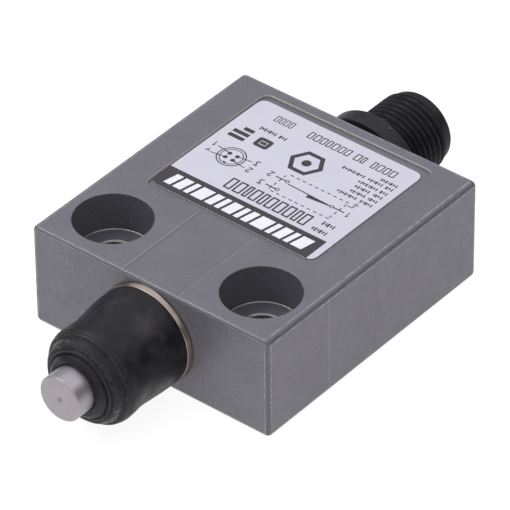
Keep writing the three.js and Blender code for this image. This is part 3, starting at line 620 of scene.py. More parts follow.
def turned_metal(name, colour, dark=0.82, roughness=0.3, side_sheen=1.0):
    """Metal off a lathe: rings on its end faces and on its sides; the sides and the pin's chamfer may be
    painted brighter, as a painted sheen.
    """
    s = Surface(name, metallic=1.0)
    rings = s.times(s.plus(s.rings(s.radius(), 0.16), s.rings(s.axis("Y"), 0.096)), 0.5)
    cloud = s.noise(1.4, detail=3)
    tone = s.plus(s.band(rings, 0.36, 0.64, dark, 1.04), s.spread(cloud, -0.05, 0.05))
    # painted sheen: the pin's side and its chamfer made brighter
    side = s.band(s.radius(), PIN_RADIUS - PIN_CHAMFER, PIN_RADIUS, 1.0, side_sheen)
    from_chamfer = s.apart(s.radius(), PIN_RADIUS - PIN_CHAMFER / 2)
    chamfer = s.band(from_chamfer, PIN_CHAMFER / 2, PIN_CHAMFER / 3, 1.0, side_sheen)
    uneven = s.plus(rings, s.times(cloud, 0.4))
    roughness = s.band(uneven, 0.4, 1.0, roughness - 0.06, roughness + 0.1)
    return s.finished(s.tint(colour, s.times(tone, side, chamfer)), roughness, rings, 0.006)


def sheet_metal(name, colour, roughness=0.32):
    """Drawn or stamped metal with fine lines along its length."""
    s = Surface(name, metallic=1.0)
    lines = s.noise(0.09, detail=3, stretch=(0.12, 1, 1))
    tone = s.plus(s.spread(lines, 0.88, 1.0), s.spread(s.noise(1.1, offset=9), -0.06, 0.06))
    roughness = s.spread(lines, roughness - 0.06, roughness + 0.08)
    return s.finished(s.tint(colour, tone), roughness, lines, 0.004)


def plastic(name, colour, roughness=0.45, speckle=0.1):
    """Moulded plastic with a fine spark-eroded texture."""
    s = Surface(name)
    texture = s.noise(0.14, detail=3, roughness=0.6)
    cloud = s.noise(2.2, detail=3, offset=4)
    tone = s.plus(s.spread(texture, 1 - speckle, 1 + speckle), s.spread(cloud, -0.06, 0.06))
    roughness = s.spread(cloud, roughness - 0.05, roughness + 0.07)
    return s.finished(s.tint(colour, tone), roughness, texture, 0.012)


def connector_plastic():
    """Black glass-filled plastic with a few pale dust specks, with painted shade in the thread's grooves
    and its crests painted a little lighter.
    """
    s = Surface("connector_plastic")
    texture = s.noise(0.16, detail=3, roughness=0.6)
    cloud = s.spread(s.noise(1.8, detail=3, offset=2))
    speck = s.band(s.noise(0.42, detail=1, offset=14), 0.77, 0.82)
    base = s.mix(cloud, (0.0098, 0.0094, 0.0128), (0.0155, 0.0148, 0.0198))
    # painted shade in the thread's grooves, and a little painted sheen on its crests
    base = s.tint(base, s.band(s.radius(), THREAD_ROOT, THREAD_CREST, 0.45, 1.1))
    base = s.stain(base, (0.3, 0.3, 0.28), speck, 0.5)
    return s.finished(base, s.spread(texture, 0.42, 0.54), texture, 0.012, Specular_IOR_Level=0.25)


def label_film():
    """White vinyl film, a little uneven and slightly glossy."""
    s = Surface("label_film")
    cloud = s.noise(3.5, detail=3)
    fine = s.noise(0.3, offset=6)
    tone = s.plus(s.spread(cloud, 0.985, 1.015), s.spread(fine, -0.01, 0.01))
    return s.finished(s.tint((0.545, 0.53, 0.595), tone), s.spread(cloud, 0.42, 0.5), fine, 0.002)


def ink(name, colour):
    return grained(name, colour, 0.25, (0.9, 1.1), (0.41, 0.5), 0.001, detail=3)


def insulation(name, colour):
    """A lead's soft insulation, with faint extrusion lines."""
    return grained(name, colour, 0.2, (0.9, 1.1), (0.38, 0.5), 0.006, stretch=(0.3, 1, 1))


CAST = cast_metal("cast_metal")
MACHINED = machined_metal()
COVER = cast_metal("cover_plate", 0.94)
BOOT_RUBBER = boot_rubber()
SEAL_RUBBER = seal_rubber()
PLATED = turned_metal("plated_collar", (0.36, 0.3, 0.27), dark=0.84, roughness=0.27)
STAINLESS = turned_metal("stainless", (0.385, 0.354, 0.375), roughness=0.42, side_sheen=1.06)
SPRING_STEEL = sheet_metal("spring_steel", (0.4, 0.41, 0.43))
CONNECTOR_BLACK = connector_plastic()
INSERT_BLACK = plastic("insert_plastic", (0.024, 0.023, 0.026))
GOLD = turned_metal("gold_pin", (0.83, 0.6, 0.25), dark=0.92, roughness=0.22)

# -------- housing


def outer_block():
    """The casting's outside, each of its edges rounded by its own radius."""
    low, high = HOUSING_LOW, HOUSING_HIGH
    outline = [(low.x, low.y), (high.x, low.y), (high.x, high.y), (low.x, high.y)]
    block = stacked("housing_casting", [(outline, low.z), (outline, high.z)])
    weight = block.data.attributes.new("bevel_weight_edge", "FLOAT", "EDGE")
    widest = max(EDGE_RADIUS.values())
    for edge in block.data.edges:
        a, b = (block.data.vertices[i].co / MM for i in edge.vertices)
        middle = (a + b) / 2
        if abs(a.z - b.z) > GAP:
            radius = EDGE_RADIUS["upright"]
        elif middle.z < AXIS_Z:
            radius = EDGE_RADIUS["bottom"]
        elif middle.y < FRONT + GAP:
            radius = EDGE_RADIUS["front_top"]
        else:
            radius = EDGE_RADIUS["top"]
        weight.data[edge.index].value = radius / widest
    bevel = block.modifiers.new("edges", "BEVEL")
    bevel.limit_method = "WEIGHT"
    bevel.width = widest * MM
    bevel.segments = EDGE_SEGMENTS
    apply_modifiers(block)
    return block


def screw_hole(x):
    """A counterbored hole: rounded mouth, a fillet at the seat and a chamfered through hole."""
    seat = HEIGHT - COUNTERBORE_DEPTH
    mouth = COUNTERBORE_RADIUS + RIM_ROUNDING
    rim_z = HEIGHT - RIM_ROUNDING
    wall, rim, fillet = COUNTERBORE_RADIUS, RIM_ROUNDING, SEAT_ROUNDING
    wide = HOLE_RADIUS + HOLE_CHAMFER
    return upright("screw_hole_cutter", [
        (mouth, HEIGHT + OVERSHOOT),
        *[(mouth - rim * math.sin(t), rim_z + rim * math.cos(t)) for t in quarter(5)],
        *[(wall - fillet * (1 - math.cos(t)), seat + fillet * (1 - math.sin(t))) for t in quarter(4)],
        (wide, seat), (HOLE_RADIUS, seat - HOLE_CHAMFER),
        (HOLE_RADIUS, HOLE_CHAMFER), (wide, 0), (wide, -OVERSHOOT),
    ], x, 0)


def label_recess():
    """The shallow tray that the label lies in, with a soft rim."""
    floor_z = HEIGHT - RECESS_DEPTH
    half, start, end = RECESS_HALF_WIDTH, RECESS_START, RECESS_END
    rim = RECESS_ROUNDING
    levels = [(-0.1, floor_z), (-0.03, floor_z + 0.03), (0, floor_z + 0.1)]
    levels += [(rim * (1 - math.cos(t)), HEIGHT - rim * (1 - math.sin(t))) for t in quarter(4)]
    levels += [(rim, HEIGHT + OVERSHOOT)]
    return stacked("recess_cutter", [
        (rectangle(-half, start, half, end, RECESS_CORNER, margin), z) for margin, z in levels
    ])


def cavity_outline(margin):
    half = CAVITY_HALF_WIDTH
    return rectangle(-half, CAVITY_START, half, CAVITY_END, CAVITY_CORNER, margin)


def cover_pocket():
    """The cavity for the basic switch, with the shelf for the gasket and cover round its mouth."""
    rim = POCKET_ROUNDING
    levels = [
        (SHELF_WIDTH + rim, -OVERSHOOT), (SHELF_WIDTH + rim, PAD_STEP),
        (SHELF_WIDTH + rim / 3, PAD_STEP + rim / 3), (SHELF_WIDTH, PAD_STEP + rim),
        (SHELF_WIDTH, SHELF_HEIGHT), (0, SHELF_HEIGHT), (0, CAVITY_ROOF),
    ]
    return stacked("pocket_cutter", [(cavity_outline(margin), z) for margin, z in levels])


def plunger_bore():
    return turned("bore_cutter", [
        (SHANK_RADIUS + GAP, FRONT - OVERSHOOT), (SHANK_RADIUS + GAP, SHOULDER_FRONT),
        (CHAMBER_RADIUS, SHOULDER_FRONT), (CHAMBER_RADIUS, GUIDE_SEAT),
        (GUIDE_HOLE_RADIUS, GUIDE_SEAT), (GUIDE_HOLE_RADIUS, CAVITY_START + OVERSHOOT),
    ], solid=True)


def connector_hole():
    wide = CONNECTOR_HOLE_RADIUS + HOLE_CHAMFER
    return turned("connector_hole_cutter", [
        (CONNECTOR_HOLE_RADIUS, CAVITY_END - OVERSHOOT), (CONNECTOR_HOLE_RADIUS, BACK - HOLE_CHAMFER),
        (wide, BACK), (wide, BACK + OVERSHOOT),
    ], solid=True)


def pad_relief():
    """A wedge that lifts the underside behind the mounting pad a little."""
    side = HALF_WIDTH + OVERSHOOT
    start, end = PAD_END - PAD_RAMP / 2, PAD_END + PAD_RAMP / 2
    back = BACK + OVERSHOOT
    outline = [(start, 0), (start, -OVERSHOOT), (back, -OVERSHOOT), (back, PAD_STEP), (end, PAD_STEP)]
    return skin("pad_cutter", [[(x, y, z) for y, z in outline] for x in (-side, side)])


def mark(obj, name, amount):
    """Writes a value from 0 to 1 at each vertex, which the material reads as wear, as painted shade or
    as a painted highlight.
    """
    attribute = obj.data.attributes.new(name, "FLOAT", "POINT")
    values = [amount(vertex.co / MM, vertex.normal) for vertex in obj.data.vertices]
    attribute.data.foreach_set("value", values)


def turned_from_face(place, normal):
    """1 in the middle of a rounded outside edge, and 0 on a flat face or inside a hole."""
    gaps = sorted((
        HALF_WIDTH - abs(place.x), min(place.y - FRONT, BACK - place.y), min(place.z, HEIGHT - place.z),
    ))
    if gaps[1] > 1.0:
        return 0.0
    largest = max(abs(part) for part in normal)
    turned_by = (1 - largest) / (1 - math.sqrt(0.5))
    return clamp(1.06 * turned_by - 0.06)


def recess_rim(place, normal):
    """1 on the label recess's rounded far rim, and a little less on its left one, where a highlight is
    painted.
    """
    past_end = max(abs(place.x) - RECESS_HALF_WIDTH, RECESS_START - place.y, place.y - RECESS_END)
    on_rim = past_end < 2 * RECESS_ROUNDING and HEIGHT - RECESS_DEPTH + 0.05 < place.z < HEIGHT - 0.01
    return clamp(4 * max(-normal.y, 0.7 * normal.x) * normal.z) if on_rim else 0.0


def from_hole(place):
    """The distance from the nearer screw hole's axis."""
    return math.hypot(abs(place.x) - HOLE_X, place.y)


def hole_wall(place, normal):
    """1 on the walls and floors of the two counterbores, which are darkened by painted shade."""
    inside = from_hole(place) < COUNTERBORE_RADIUS + RIM_ROUNDING / 2
    return 1.0 if inside and place.z < HEIGHT - 0.01 else 0.0


def is_machined(face):
    """Whether a drill or a counterbore has left bare metal on this face: a fillet or a chamfer."""
    centre = face.center / MM
    above_seat = centre.z - (HEIGHT - COUNTERBORE_DEPTH)
    distance = from_hole(centre)
    at_chamfer = abs(above_seat + HOLE_CHAMFER / 2) < HOLE_CHAMFER
    on_chamfer = at_chamfer and distance < HOLE_RADIUS + HOLE_CHAMFER
    on_fillet = 0.01 < above_seat < SEAT_ROUNDING and distance < COUNTERBORE_RADIUS
    return abs(face.normal.z) > 0.1 and (on_chamfer or on_fillet)


def housing():
    block = outer_block()
    cutters = [screw_hole(-HOLE_X), screw_hole(HOLE_X), label_recess(), pad_relief()]
    cutters += [cover_pocket(), plunger_bore(), connector_hole()]
    combine(block, "DIFFERENCE", cutters)
    mark(block, "edge", turned_from_face)
    # where the recess rim gets its painted highlight
    mark(block, "painted_rim_highlight", recess_rim)
    # the counterbores, for their painted shade
    mark(block, "hole", hole_wall)
    finish_piece(block, "body", CAST, ["housing"])
    block.data.materials.append(MACHINED)
    for face in block.data.polygons:
        if is_machined(face):
            face.material_index = 1


def rear_cover():
    low, high = COVER_LOW.z, COVER_HIGH.z
    margin = SHELF_WIDTH - GAP
    levels = [(margin - 0.25, low), (margin - 0.07, low + 0.07), (margin, low + 0.25), (margin, high)]
    cover = stacked("rear_cover_plate", [(cavity_outline(grown), z) for grown, z in levels])
    finish_piece(cover, "body", COVER, ["rear_cover"])


def cover_gasket():
    """The gasket swells a little where the cover presses it."""
    low, high = GASKET_LOW.z, GASKET_HIGH.z
    margin = SHELF_WIDTH - GAP
    middle = (low + high) / 2
    outer = [(margin - 0.12, low), (margin, middle), (margin - 0.12, high)]
    inner = [(0.1, high), (0.0, middle), (0.1, low)]
    rings = [[(*point, z) for point in cavity_outline(grown)] for grown, z in outer + inner]
    gasket = skin("cover_gasket_ring", rings, looped=True)
    finish_piece(gasket, "body", SEAL_RUBBER, ["cover_gasket"])


# -------- plunger head


def head_bushing():
    bore = PIN_RADIUS + PLAY
    flange_front = FRONT - FLANGE_THICKNESS
    groove = PIN_RADIUS + 2 * SEAL_WIRE + GAP
    half_groove = SEAL_WIRE + GAP
    bushing = turned("head_bushing_collar", rounded([
        (bore, BUSHING_LOW.y, 0.2), (NOSE_RADIUS, BUSHING_LOW.y, 0.4),
        (NOSE_RADIUS, BEAD_START, 0.1), (BEAD_RADIUS, BEAD_START, 0.1),
        (BEAD_RADIUS, BEAD_END, 0.1), (NOSE_RADIUS, BEAD_END, 0.1),
        (NOSE_RADIUS, flange_front), (FLANGE_RADIUS - FLANGE_TAPER, flange_front, 0.12),
        (FLANGE_RADIUS, FRONT - FLANGE_THICKNESS / 3, 0.4), (FLANGE_RADIUS, FRONT, 0.12),
        (SHANK_RADIUS, FRONT), (SHANK_RADIUS, BUSHING_HIGH.y, 0.2),
        (bore, BUSHING_HIGH.y, 0.2), (bore, SEAL_Y + half_groove),
        (groove, SEAL_Y + half_groove, 0.1), (groove, SEAL_Y - half_groove, 0.1),
        (bore, SEAL_Y - half_groove),
    ]), sides=128)
    finish_piece(bushing, "body", PLATED, ["head_bushing"])


# The boot's outside as (radius, y, rounding): the lip round the pin, two ribs with their grooves
# and the rim; then, as smooth curves, the bulge and the waist down to the base on the flange.
BOOT_LIP = [(4.15, -23.0, 0.3), (4.72, -22.5, 0.2)]
BOOT_RIBS = [
    (4.8, -22.04, 0.08), (5.08, -22.24, 0.1), (5.3, -22.16, 0.1), (5.42, -21.8, 0.08),
    (5.72, -21.88, 0.12), (6.2, -21.38, 0.2), (6.36, -20.85, 0.15), (6.45, -20.5, 0.1),
    (6.8, -20.5, 0.14), (7.0, -20.2, 0.1), (6.98, -19.92, 0.08), (7.12, -19.74, 0.1),
]
BOOT_BULGE = [(7.19, -19.35), (7.19, -18.8), (7.12, -17.9), (7.04, -17.0), (7.04, -16.0), (7.14, -14.7)]
BOOT_WAIST = [(7.28, -13.4), (7.39, -12.1), (7.44, -11.0)]
BOOT_INSIDE = [(5.35, -14), (5.3, -16.6), (5.55, -19.4), (5.3, -20.3), (4.6, -20.8)]
BOOT_INSIDE_END = -21.0
BOOT_LEAN = (0.12, -0.1)             # how far the soft front of the boot sags in x and z
BOOT_LEAN_START = -12.0
BOOT_LEAN_END = -18.0
BOOT_WORN_TURN = math.radians(-48)   # the front rim is scuffed here and on the opposite side


def boot_wear(place, normal):
    """The rims that stand out are worn pale: the front rim most, the ribs a little."""
    radius = math.hypot(place.x, place.z - AXIS_Z)
    turn = math.atan2(place.x, place.z - AXIS_Z)
    front_rim = clamp(1 - abs(radius - 6.25) / 0.35) * clamp((-20.9 - place.y) / 0.3)
    worn_side = clamp(4 * abs(math.cos(turn - BOOT_WORN_TURN)) - 3)
    ribs = clamp(-3 * normal.y - 1.5) * clamp((radius - 4.6) / 0.3) * 0.14
    return max(front_rim * worn_side, ribs)


def boot():
    base_y = FRONT - FLANGE_THICKNESS - PLAY
    inside = NOSE_RADIUS + GAP
    bead = BEAD_RADIUS + GAP
    grip = NECK_RADIUS + GAP
    pin_room = PIN_RADIUS + GAP
    outside = smooth_curve([BOOT_RIBS[-1][:2], *BOOT_BULGE, *BOOT_WAIST, (BOOT_HIGH.x, base_y - 0.7)])
    piece = turned("plunger_boot", rounded([
        (pin_room, BOOT_LOW.y, 0.12), *BOOT_LIP, *BOOT_RIBS,
        *[(point.x, point.y) for point in outside[1:]],
        (BOOT_HIGH.x, base_y, 0.15), (inside, base_y),
        (inside, BEAD_END - GAP), (bead, BEAD_END - GAP),
        (bead, BEAD_START + GAP), (inside, BEAD_START + GAP),
        *BOOT_INSIDE,
        (pin_room, BOOT_INSIDE_END, 0.15), (pin_room, NECK_END - GAP),
        (grip, NECK_END - GAP), (grip, NECK_START + GAP),
        (pin_room, NECK_START + GAP),
    ]), sides=144)
    for vertex in piece.data.vertices:
        x, y, z = vertex.co / MM
        soft = clamp((y - BOOT_LEAN_START) / (BOOT_LEAN_END - BOOT_LEAN_START))
        soft *= clamp(math.hypot(x, z - AXIS_Z) - pin_room)
        vertex.co.x += BOOT_LEAN[0] * soft * MM
        vertex.co.z += BOOT_LEAN[1] * soft * MM
    mark(piece, "edge", boot_wear)
    shade(piece, sharp_angle=60)
    paint(piece, BOOT_RUBBER)
    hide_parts("boot")
    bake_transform(piece)


def plunger_pin():
    """A turned pin: a fine chamfer, a centre-drill dimple in its tip and a bore for the spring."""
    tip, end = PIN_LOW.y, PIN_HIGH.y
    dimple_floor = tip + 0.3
    bore_end = -6.0
    lip_end = end - 0.7
    point, dimple, lip, bore = 0.08, 0.42, 1.45, 2.0
    pin = turned("plunger_pin_turned", rounded([
        (point, dimple_floor), (dimple, tip, 0.06),
        (PIN_RADIUS - PIN_CHAMFER, tip, 0.03), (PIN_RADIUS, tip + PIN_CHAMFER, 0.03),
        (PIN_RADIUS, NECK_START, 0.1), (NECK_RADIUS, NECK_START, 0.1),
        (NECK_RADIUS, NECK_END, 0.1), (PIN_RADIUS, NECK_END, 0.1),
        (PIN_RADIUS, SHOULDER_FRONT), (SHOULDER_RADIUS, SHOULDER_FRONT, 0.15),
        (SHOULDER_RADIUS, end, 0.15), (lip, end, 0.1),
        (lip, lip_end), (bore, lip_end), (bore, bore_end), (point, bore_end),
    ]), sides=128, solid=True)
    finish_piece(pin, "plunger", STAINLESS, ["plunger_pin"])


def ring_seal(name, ring_radius, wire, y, replaced):
    seal = turned(name, [(ring_radius + wire * math.cos(t), y + wire * math.sin(t)) for t in turns(14)])
    finish_piece(seal, "body", SEAL_RUBBER, [replaced], sharp_angle=80)


def coil_spring(node, coil_radius, wire, coils, body):
    """A spring in place of a CAD one, carried by the given body."""
    low, high = box_mm(node)
    start, length = low.y, high.y - low.y
    steps_per_coil = 28
    steps = steps_per_coil * coils
    path = []
    for i in range(steps + 1):
        angle = 2 * math.pi * coils * i / steps
        y = start + wire + (length - 2 * wire) * i / steps
        path.append(Vector((coil_radius * math.cos(angle), y, AXIS_Z + coil_radius * math.sin(angle))))
    spring = swept(node + "_coil", path, wire)
    finish_piece(spring, body, SPRING_STEEL, [node], sharp_angle=60)
    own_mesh(spring)


def springs():
    coil_spring("return_spring", coil_radius=4.1, wire=0.3, coils=4,
                body="body")
    coil_spring("overtravel_spring", coil_radius=1.45, wire=0.25, coils=5,
                body="plunger")


# -------- connector


def thread_radius(y, angle):
    """The barrel's radius: a single-start thread that rises behind the collar and ends in a band."""
    if y >= THREAD_END:
        slope = (END_BAND_RADIUS - LEAD_IN_RADIUS) / (SHELL_HIGH.y - LEAD_IN_START)
        return END_BAND_RADIUS - slope * max(0, y - LEAD_IN_START)
    turn = ((y - THREAD_START) / THREAD_PITCH - angle / (2 * math.pi)) % 1
    ridge = clamp(1.3 * (1 - abs(2 * turn - 1)) - 0.15)
    groove = (THREAD_CREST - THREAD_ROOT) * (1 - ridge * clamp((y - COLLAR_END) / 0.6))
    filled = clamp((y - THREAD_END + 0.4) / 0.5)
    return THREAD_CREST - groove * (1 - filled)


def thread_relief(radius, y, angle):
    if y < COLLAR_END or radius < THREAD_ROOT - 0.3:
        return radius
    return min(radius, thread_radius(y, angle))


def connector_key():
    """The ridge in the socket that lets the mating plug in one way only."""
    half = KEY_WIDTH / 2
    low, high = SOCKET_RADIUS - KEY_HEIGHT, SOCKET_RADIUS + 0.3
    outline = rounded([(-half, low, 0.15), (half, low, 0.15), (half, high), (-half, high)])
    key = stacked("key", [(outline, -KEY_END), (outline, -(INSERT_FACE + GAP))])
    key.data.transform(Matrix.Translation((0, 0, AXIS_Z * MM)) @ Matrix.Rotation(math.pi / 2, 4, "X"))
    return key


def connector_shell():
    bore = INSERT_RADIUS + PLAY
    end = SHELL_HIGH.y
    rows_per_turn = 14
    rows = int((end - 0.2 - COLLAR_END) / THREAD_PITCH * rows_per_turn)
    barrel = [(THREAD_CREST, COLLAR_END + THREAD_PITCH * (i + 1) / rows_per_turn) for i in range(rows)]
    shell = turned("connector_shell_moulded", rounded([
        (bore, SHELL_LOW.y, 0.1), (SPIGOT_RADIUS, SHELL_LOW.y, 0.2),
        (SPIGOT_RADIUS, BACK + PLAY), (HUB_RADIUS, BACK + PLAY, 0.05),
        (HUB_RADIUS, COLLAR_START), (COLLAR_RADIUS, COLLAR_START, 0.3),
        (COLLAR_RADIUS, COLLAR_END, 0.35), (THREAD_ROOT, COLLAR_END),
        *barrel,
        (LEAD_IN_RADIUS, end, 0.1), (SOCKET_RADIUS, end, 0.15),
        (SOCKET_RADIUS, SOCKET_FLOOR), (bore, SOCKET_FLOOR, 0.05),
    ]), sides=144, relief=thread_relief)
    combine(shell, "UNION", [connector_key()])
    finish_piece(
        shell, "body", CONNECTOR_BLACK, ["connector_shell"], sharp_angle=38,
    )


CONTACT_PLACES = [
    (x * CONTACT_OFFSET, AXIS_Z + z * CONTACT_OFFSET) for x, z in ((-1, 1), (-1, -1), (1, -1), (1, 1))
]


def connector_insert():
    start, face = INSERT_LOW.y, INSERT_FACE
    floor_y = SOCKET_FLOOR + PLAY
    wide = SOCKET_RADIUS - PLAY
    insert = turned("connector_insert_moulded", rounded([
        (0.1, start), (INSERT_RADIUS, start, 0.15), (INSERT_RADIUS, floor_y),
        (wide, floor_y), (wide, face, 0.12), (0.1, face),
    ]), solid=True)
    hole = CONTACT_RADIUS + PLAY
    chamfer = 0.15
    profile = [
        (hole, start - OVERSHOOT), (hole, face - chamfer),
        (hole + chamfer, face), (hole + chamfer, face + OVERSHOOT),
    ]
    holes = [turned("hole", profile, 32, place, solid=True) for place in CONTACT_PLACES]
    combine(insert, "DIFFERENCE", holes)
    finish_piece(insert, "body", INSERT_BLACK, ["connector_insert"])


def connector_pins():
    """Four gold pins with a rounded tip and a hollow solder cup behind the insert."""
    cup_radius = 0.75
    cup_bore = 0.5
    start, tip = CONTACT_LOW.y, CONTACT_HIGH.y
    cup_floor = start + 0.9
    cup_end = INSERT_LOW.y - GAP
    profile = rounded([
        (cup_bore, cup_floor), (cup_bore, start), (cup_radius, start, 0.06), (cup_radius, cup_end, 0.06),
        (CONTACT_RADIUS, cup_end), (CONTACT_RADIUS, tip - 0.5, 0.4),
        (CONTACT_RADIUS * 0.4, tip, 0.15), (0.05, tip),
    ])
    for number, place in enumerate(CONTACT_PLACES, start=1):
        pin = turned(f"contact_pin_{number}", profile, 32, place, solid=True)
        finish_piece(pin, "body", GOLD, [f"connector_pin_{number}"], sharp_angle=40)


# -------- label

FILM = label_film()
BLACK_INK = ink("black_ink", (0.03, 0.026, 0.03))
WHITE_INK = ink("white_ink", (0.74, 0.73, 0.79))
LABEL_HALF_WIDTH = 14.0
LABEL_HALF_LENGTH = 12.0
LABEL_CORNER = 1.4
LABEL_TURN = math.radians(-0.3)
INK_HEIGHT = 0.012
BAND_START = 7.6                     # the black band across the label's head
BAND_LEFT = -13.0

# The label is read from the connector's side, so its own u runs along -X and its v along -Y.
LABEL_PLACE = (
    Matrix.Translation(((LABEL_LOW + LABEL_HIGH) / 2).to_3d())
    @ Matrix.Rotation(math.pi + LABEL_TURN, 4, "Z")
)


def place_on_label(obj):
    obj.data.transform(Matrix.Scale(MM, 4) @ LABEL_PLACE @ Matrix.Scale(1 / MM, 4))


class Artwork:
    """Flat printed shapes in one ink, laid out in millimetres as the label is read."""

    def __init__(self, bottom):
        self.bm = bmesh.new()
        self.bottom = bottom

    def prism(self, left, right, closed=False):
        """A raised strip between two rows of points."""
        top = self.bottom + INK_HEIGHT
        rows = []
        for points, z in ((left, self.bottom), (left, top), (right, top), (right, self.bottom)):
            rows.append([self.bm.verts.new((u, v, z)) for u, v in points])
        for row, following in zip(rows, rows[1:] + rows[:1]):
            bridge(self.bm, row, following, closed)
        if not closed:
            self.bm.faces.new([row[0] for row in rows])
            self.bm.faces.new([row[-1] for row in rows])

    def bar(self, u0, v0, u1, v1):
        self.prism([(u0, v0), (u1, v0)], [(u0, v1), (u1, v1)])

    def stroke(self, points, width=0.2):
        """A line of even width through the points, mitred at its corners."""
        points = [Vector(point) for point in points]
        left, right = [], []
        for i, point in enumerate(points):
            before = (point - points[i - 1]).normalized() if i > 0 else None
            after = (points[i + 1] - point).normalized() if i < len(points) - 1 else None
            along = ((before or after) + (after or before)).normalized()
            side = Vector((-along.y, along.x))
            reach = width / 2 / max(0.5, along.dot(after or before))
            left.append(point + side * reach)
            right.append(point - side * reach)
        self.prism(left, right)

    def ring(self, u, v, radius, width=0.2, sides=40):
        loops = [
            [(u + r * math.cos(t), v + r * math.sin(t)) for t in turns(sides)]
            for r in (radius - width / 2, radius + width / 2)
        ]
        self.prism(*loops, closed=True)

    def frame(self, u0, v0, u1, v1, corner, width):
        self.prism(
            rectangle(u0, v0, u1, v1, corner),
            rectangle(u0, v0, u1, v1, corner, margin=-width),
            closed=True,
        )

    def shape(self, outline):
        """A filled outline."""
        levels = (self.bottom, self.bottom + INK_HEIGHT)
        rows = [[self.bm.verts.new((*point, z)) for point in outline] for z in levels]
        bridge(self.bm, *rows)
        for row in rows:
            self.bm.faces.new(row)

    def disc(self, u, v, radius, sides=24):
        self.shape([(u + radius * math.cos(t), v + radius * math.sin(t)) for t in turns(sides)])

    def slanted(self, u, v, widths, height, gap, slant):
        """A row of leaning blocks."""
        top = v + height
        for width in widths:
            end = u + width
            self.shape([(u, v), (end, v), (end + slant, top), (u + slant, top)])
            u = end + gap

    def boxes(self, u, v, widths, height, gap, stroke):
        """Empty boxes in place of large figures."""
        for width in widths:
            self.frame(u, v, u + width, v + height, 0.1, stroke)
            u += width + gap

    def earth(self, u, v, reaches, thickness, step=0.22):
        """The short bars of an earth sign, each shorter than the one above."""
        for level, reach in enumerate(reaches):
            self.bar(u - reach, v - step * level, u + reach, v + thickness - step * level)

    def words(self, u, v, lengths, height, gap=0.45):
        """Rows of short dashes in place of small words."""
        step = 0.42
        for length in lengths:
            for i in range(max(1, round(length / step))):
                dash = step * (0.5 + 0.12 * (i % 3))
                rise = 0.25 * height * (i % 2)
                self.bar(u + i * step, v + rise / 2, u + i * step + dash, v + height - rise)
            u += length + gap

    def digit(self, figure, u, v, size=1.0, width=0.17):
        """A plain terminal number, centred on (u, v)."""
        shapes = {
            1: [(-0.2, 0.25), (0.05, 0.5), (0.05, -0.5)],
            2: [(-0.28, 0.28), (-0.15, 0.5), (0.18, 0.5), (0.3, 0.25), (-0.3, -0.48), (0.32, -0.48)],
            3: [(-0.28, 0.48), (0.28, 0.48), (-0.02, 0.1), (0.28, -0.1), (0.2, -0.46), (-0.28, -0.46)],
        }
        self.stroke([(u + a * size, v + b * size) for a, b in shapes[figure]], width)

    def piece(self, name, material):
        obj = add_object(name, self.bm)
        place_on_label(obj)
        paint(obj, material)
        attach(obj, "body")


def label_outline(margin=0.0):
    half_width, half_length = LABEL_HALF_WIDTH, LABEL_HALF_LENGTH
    return rectangle(-half_width, -half_length, half_width, half_length, LABEL_CORNER, margin)


def label_sheet():
    half_thickness = (LABEL_HIGH.z - LABEL_LOW.z) / 2
    eased = 0.03
    sheet = stacked("label_sheet", [
        (label_outline(), -half_thickness),
        (label_outline(), half_thickness - eased),
        (label_outline(-eased), half_thickness),
    ])
    place_on_label(sheet)
    finish_piece(sheet, "body", FILM, ["label"])


def contact_diagram(art):
    """The wiring diagram of a change-over contact in a dashed frame."""
    left, right, bottom, top = -10.0, 0.5, -0.9, 3.6
    dash, gap, width = 0.55, 0.5, 0.16
    count = int((right - left) / (dash + gap))
    for i in range(count + 1):
        u = left + i * (dash + gap)
        art.bar(u, bottom, min(u + dash, right), bottom + width)
        art.bar(u, top - width, min(u + dash, right), top)
    for i in range(int((top - bottom) / (dash + gap))):
        v = bottom + gap + i * (dash + gap)
        art.bar(left, v, left + width, v + dash)
        art.bar(right - width, v, right, v + dash)
    pole, closed, opened = (-8.7, 1.2), (-0.6, 0.6), (-0.6, 2.8)
    for u, v in (pole, closed, opened):
        art.ring(u, v, 0.26, 0.14, sides=20)
    for (u, v), side, end in ((pole, -1, -10.8), (closed, 1, 1.4), (opened, 1, 1.4)):
        art.stroke([(u + 0.3 * side, v), (end, v)])
    art.stroke([(-1.0, 0.95), (-8.4, 1.2)], 0.18)
    art.prism([(-8.2, 1.25), (-4.6, 1.1)], [(-8.2, 1.35), (-4.6, 1.75)])
    art.digit(1, -11.5, 1.3)
    art.digit(2, 2.3, 0.6)
    art.digit(3, 2.2, 2.8)
    art.stroke([(-10.2, -0.3), (-11.0, -0.3), (-11.0, -0.9)], 0.15)
    art.earth(-11.0, -1.05, (0.42, 0.28, 0.14), 0.1)


def pinout_diagram(art):
    """The face of a round connector with its four contacts and their leaders."""
    u, v = 8.85, 1.0
    art.ring(u, v, 2.05, 0.17)
    art.ring(u, v, 1.65, 0.13)
    art.bar(u - 0.25, v + 1.35, u + 0.25, v + 1.65)
    for side in (-1, 1):
        for up in (-0.5, 0.5):
            art.disc(u + side * 0.65, v + up, 0.34)
            art.stroke([(u + side * 0.95, v + up * 1.15), (u + side * 2.95, v + up * 1.7)], 0.15)
    art.digit(1, 12.5, 0.0)
    art.digit(2, 5.1, 1.8)
    art.digit(3, 5.1, 0.0)
    art.earth(12.4, 1.75, (0.4, 0.26, 0.13), 0.12)


def head_band(art):
    """The dark band along the label's head; its far corner follows the label's."""
    top = LABEL_HALF_LENGTH
    end = LABEL_HALF_WIDTH
    corners = [(BAND_LEFT, BAND_START), (end, BAND_START), (end, top, LABEL_CORNER), (BAND_LEFT, top)]
    art.shape(rounded(corners, 6))


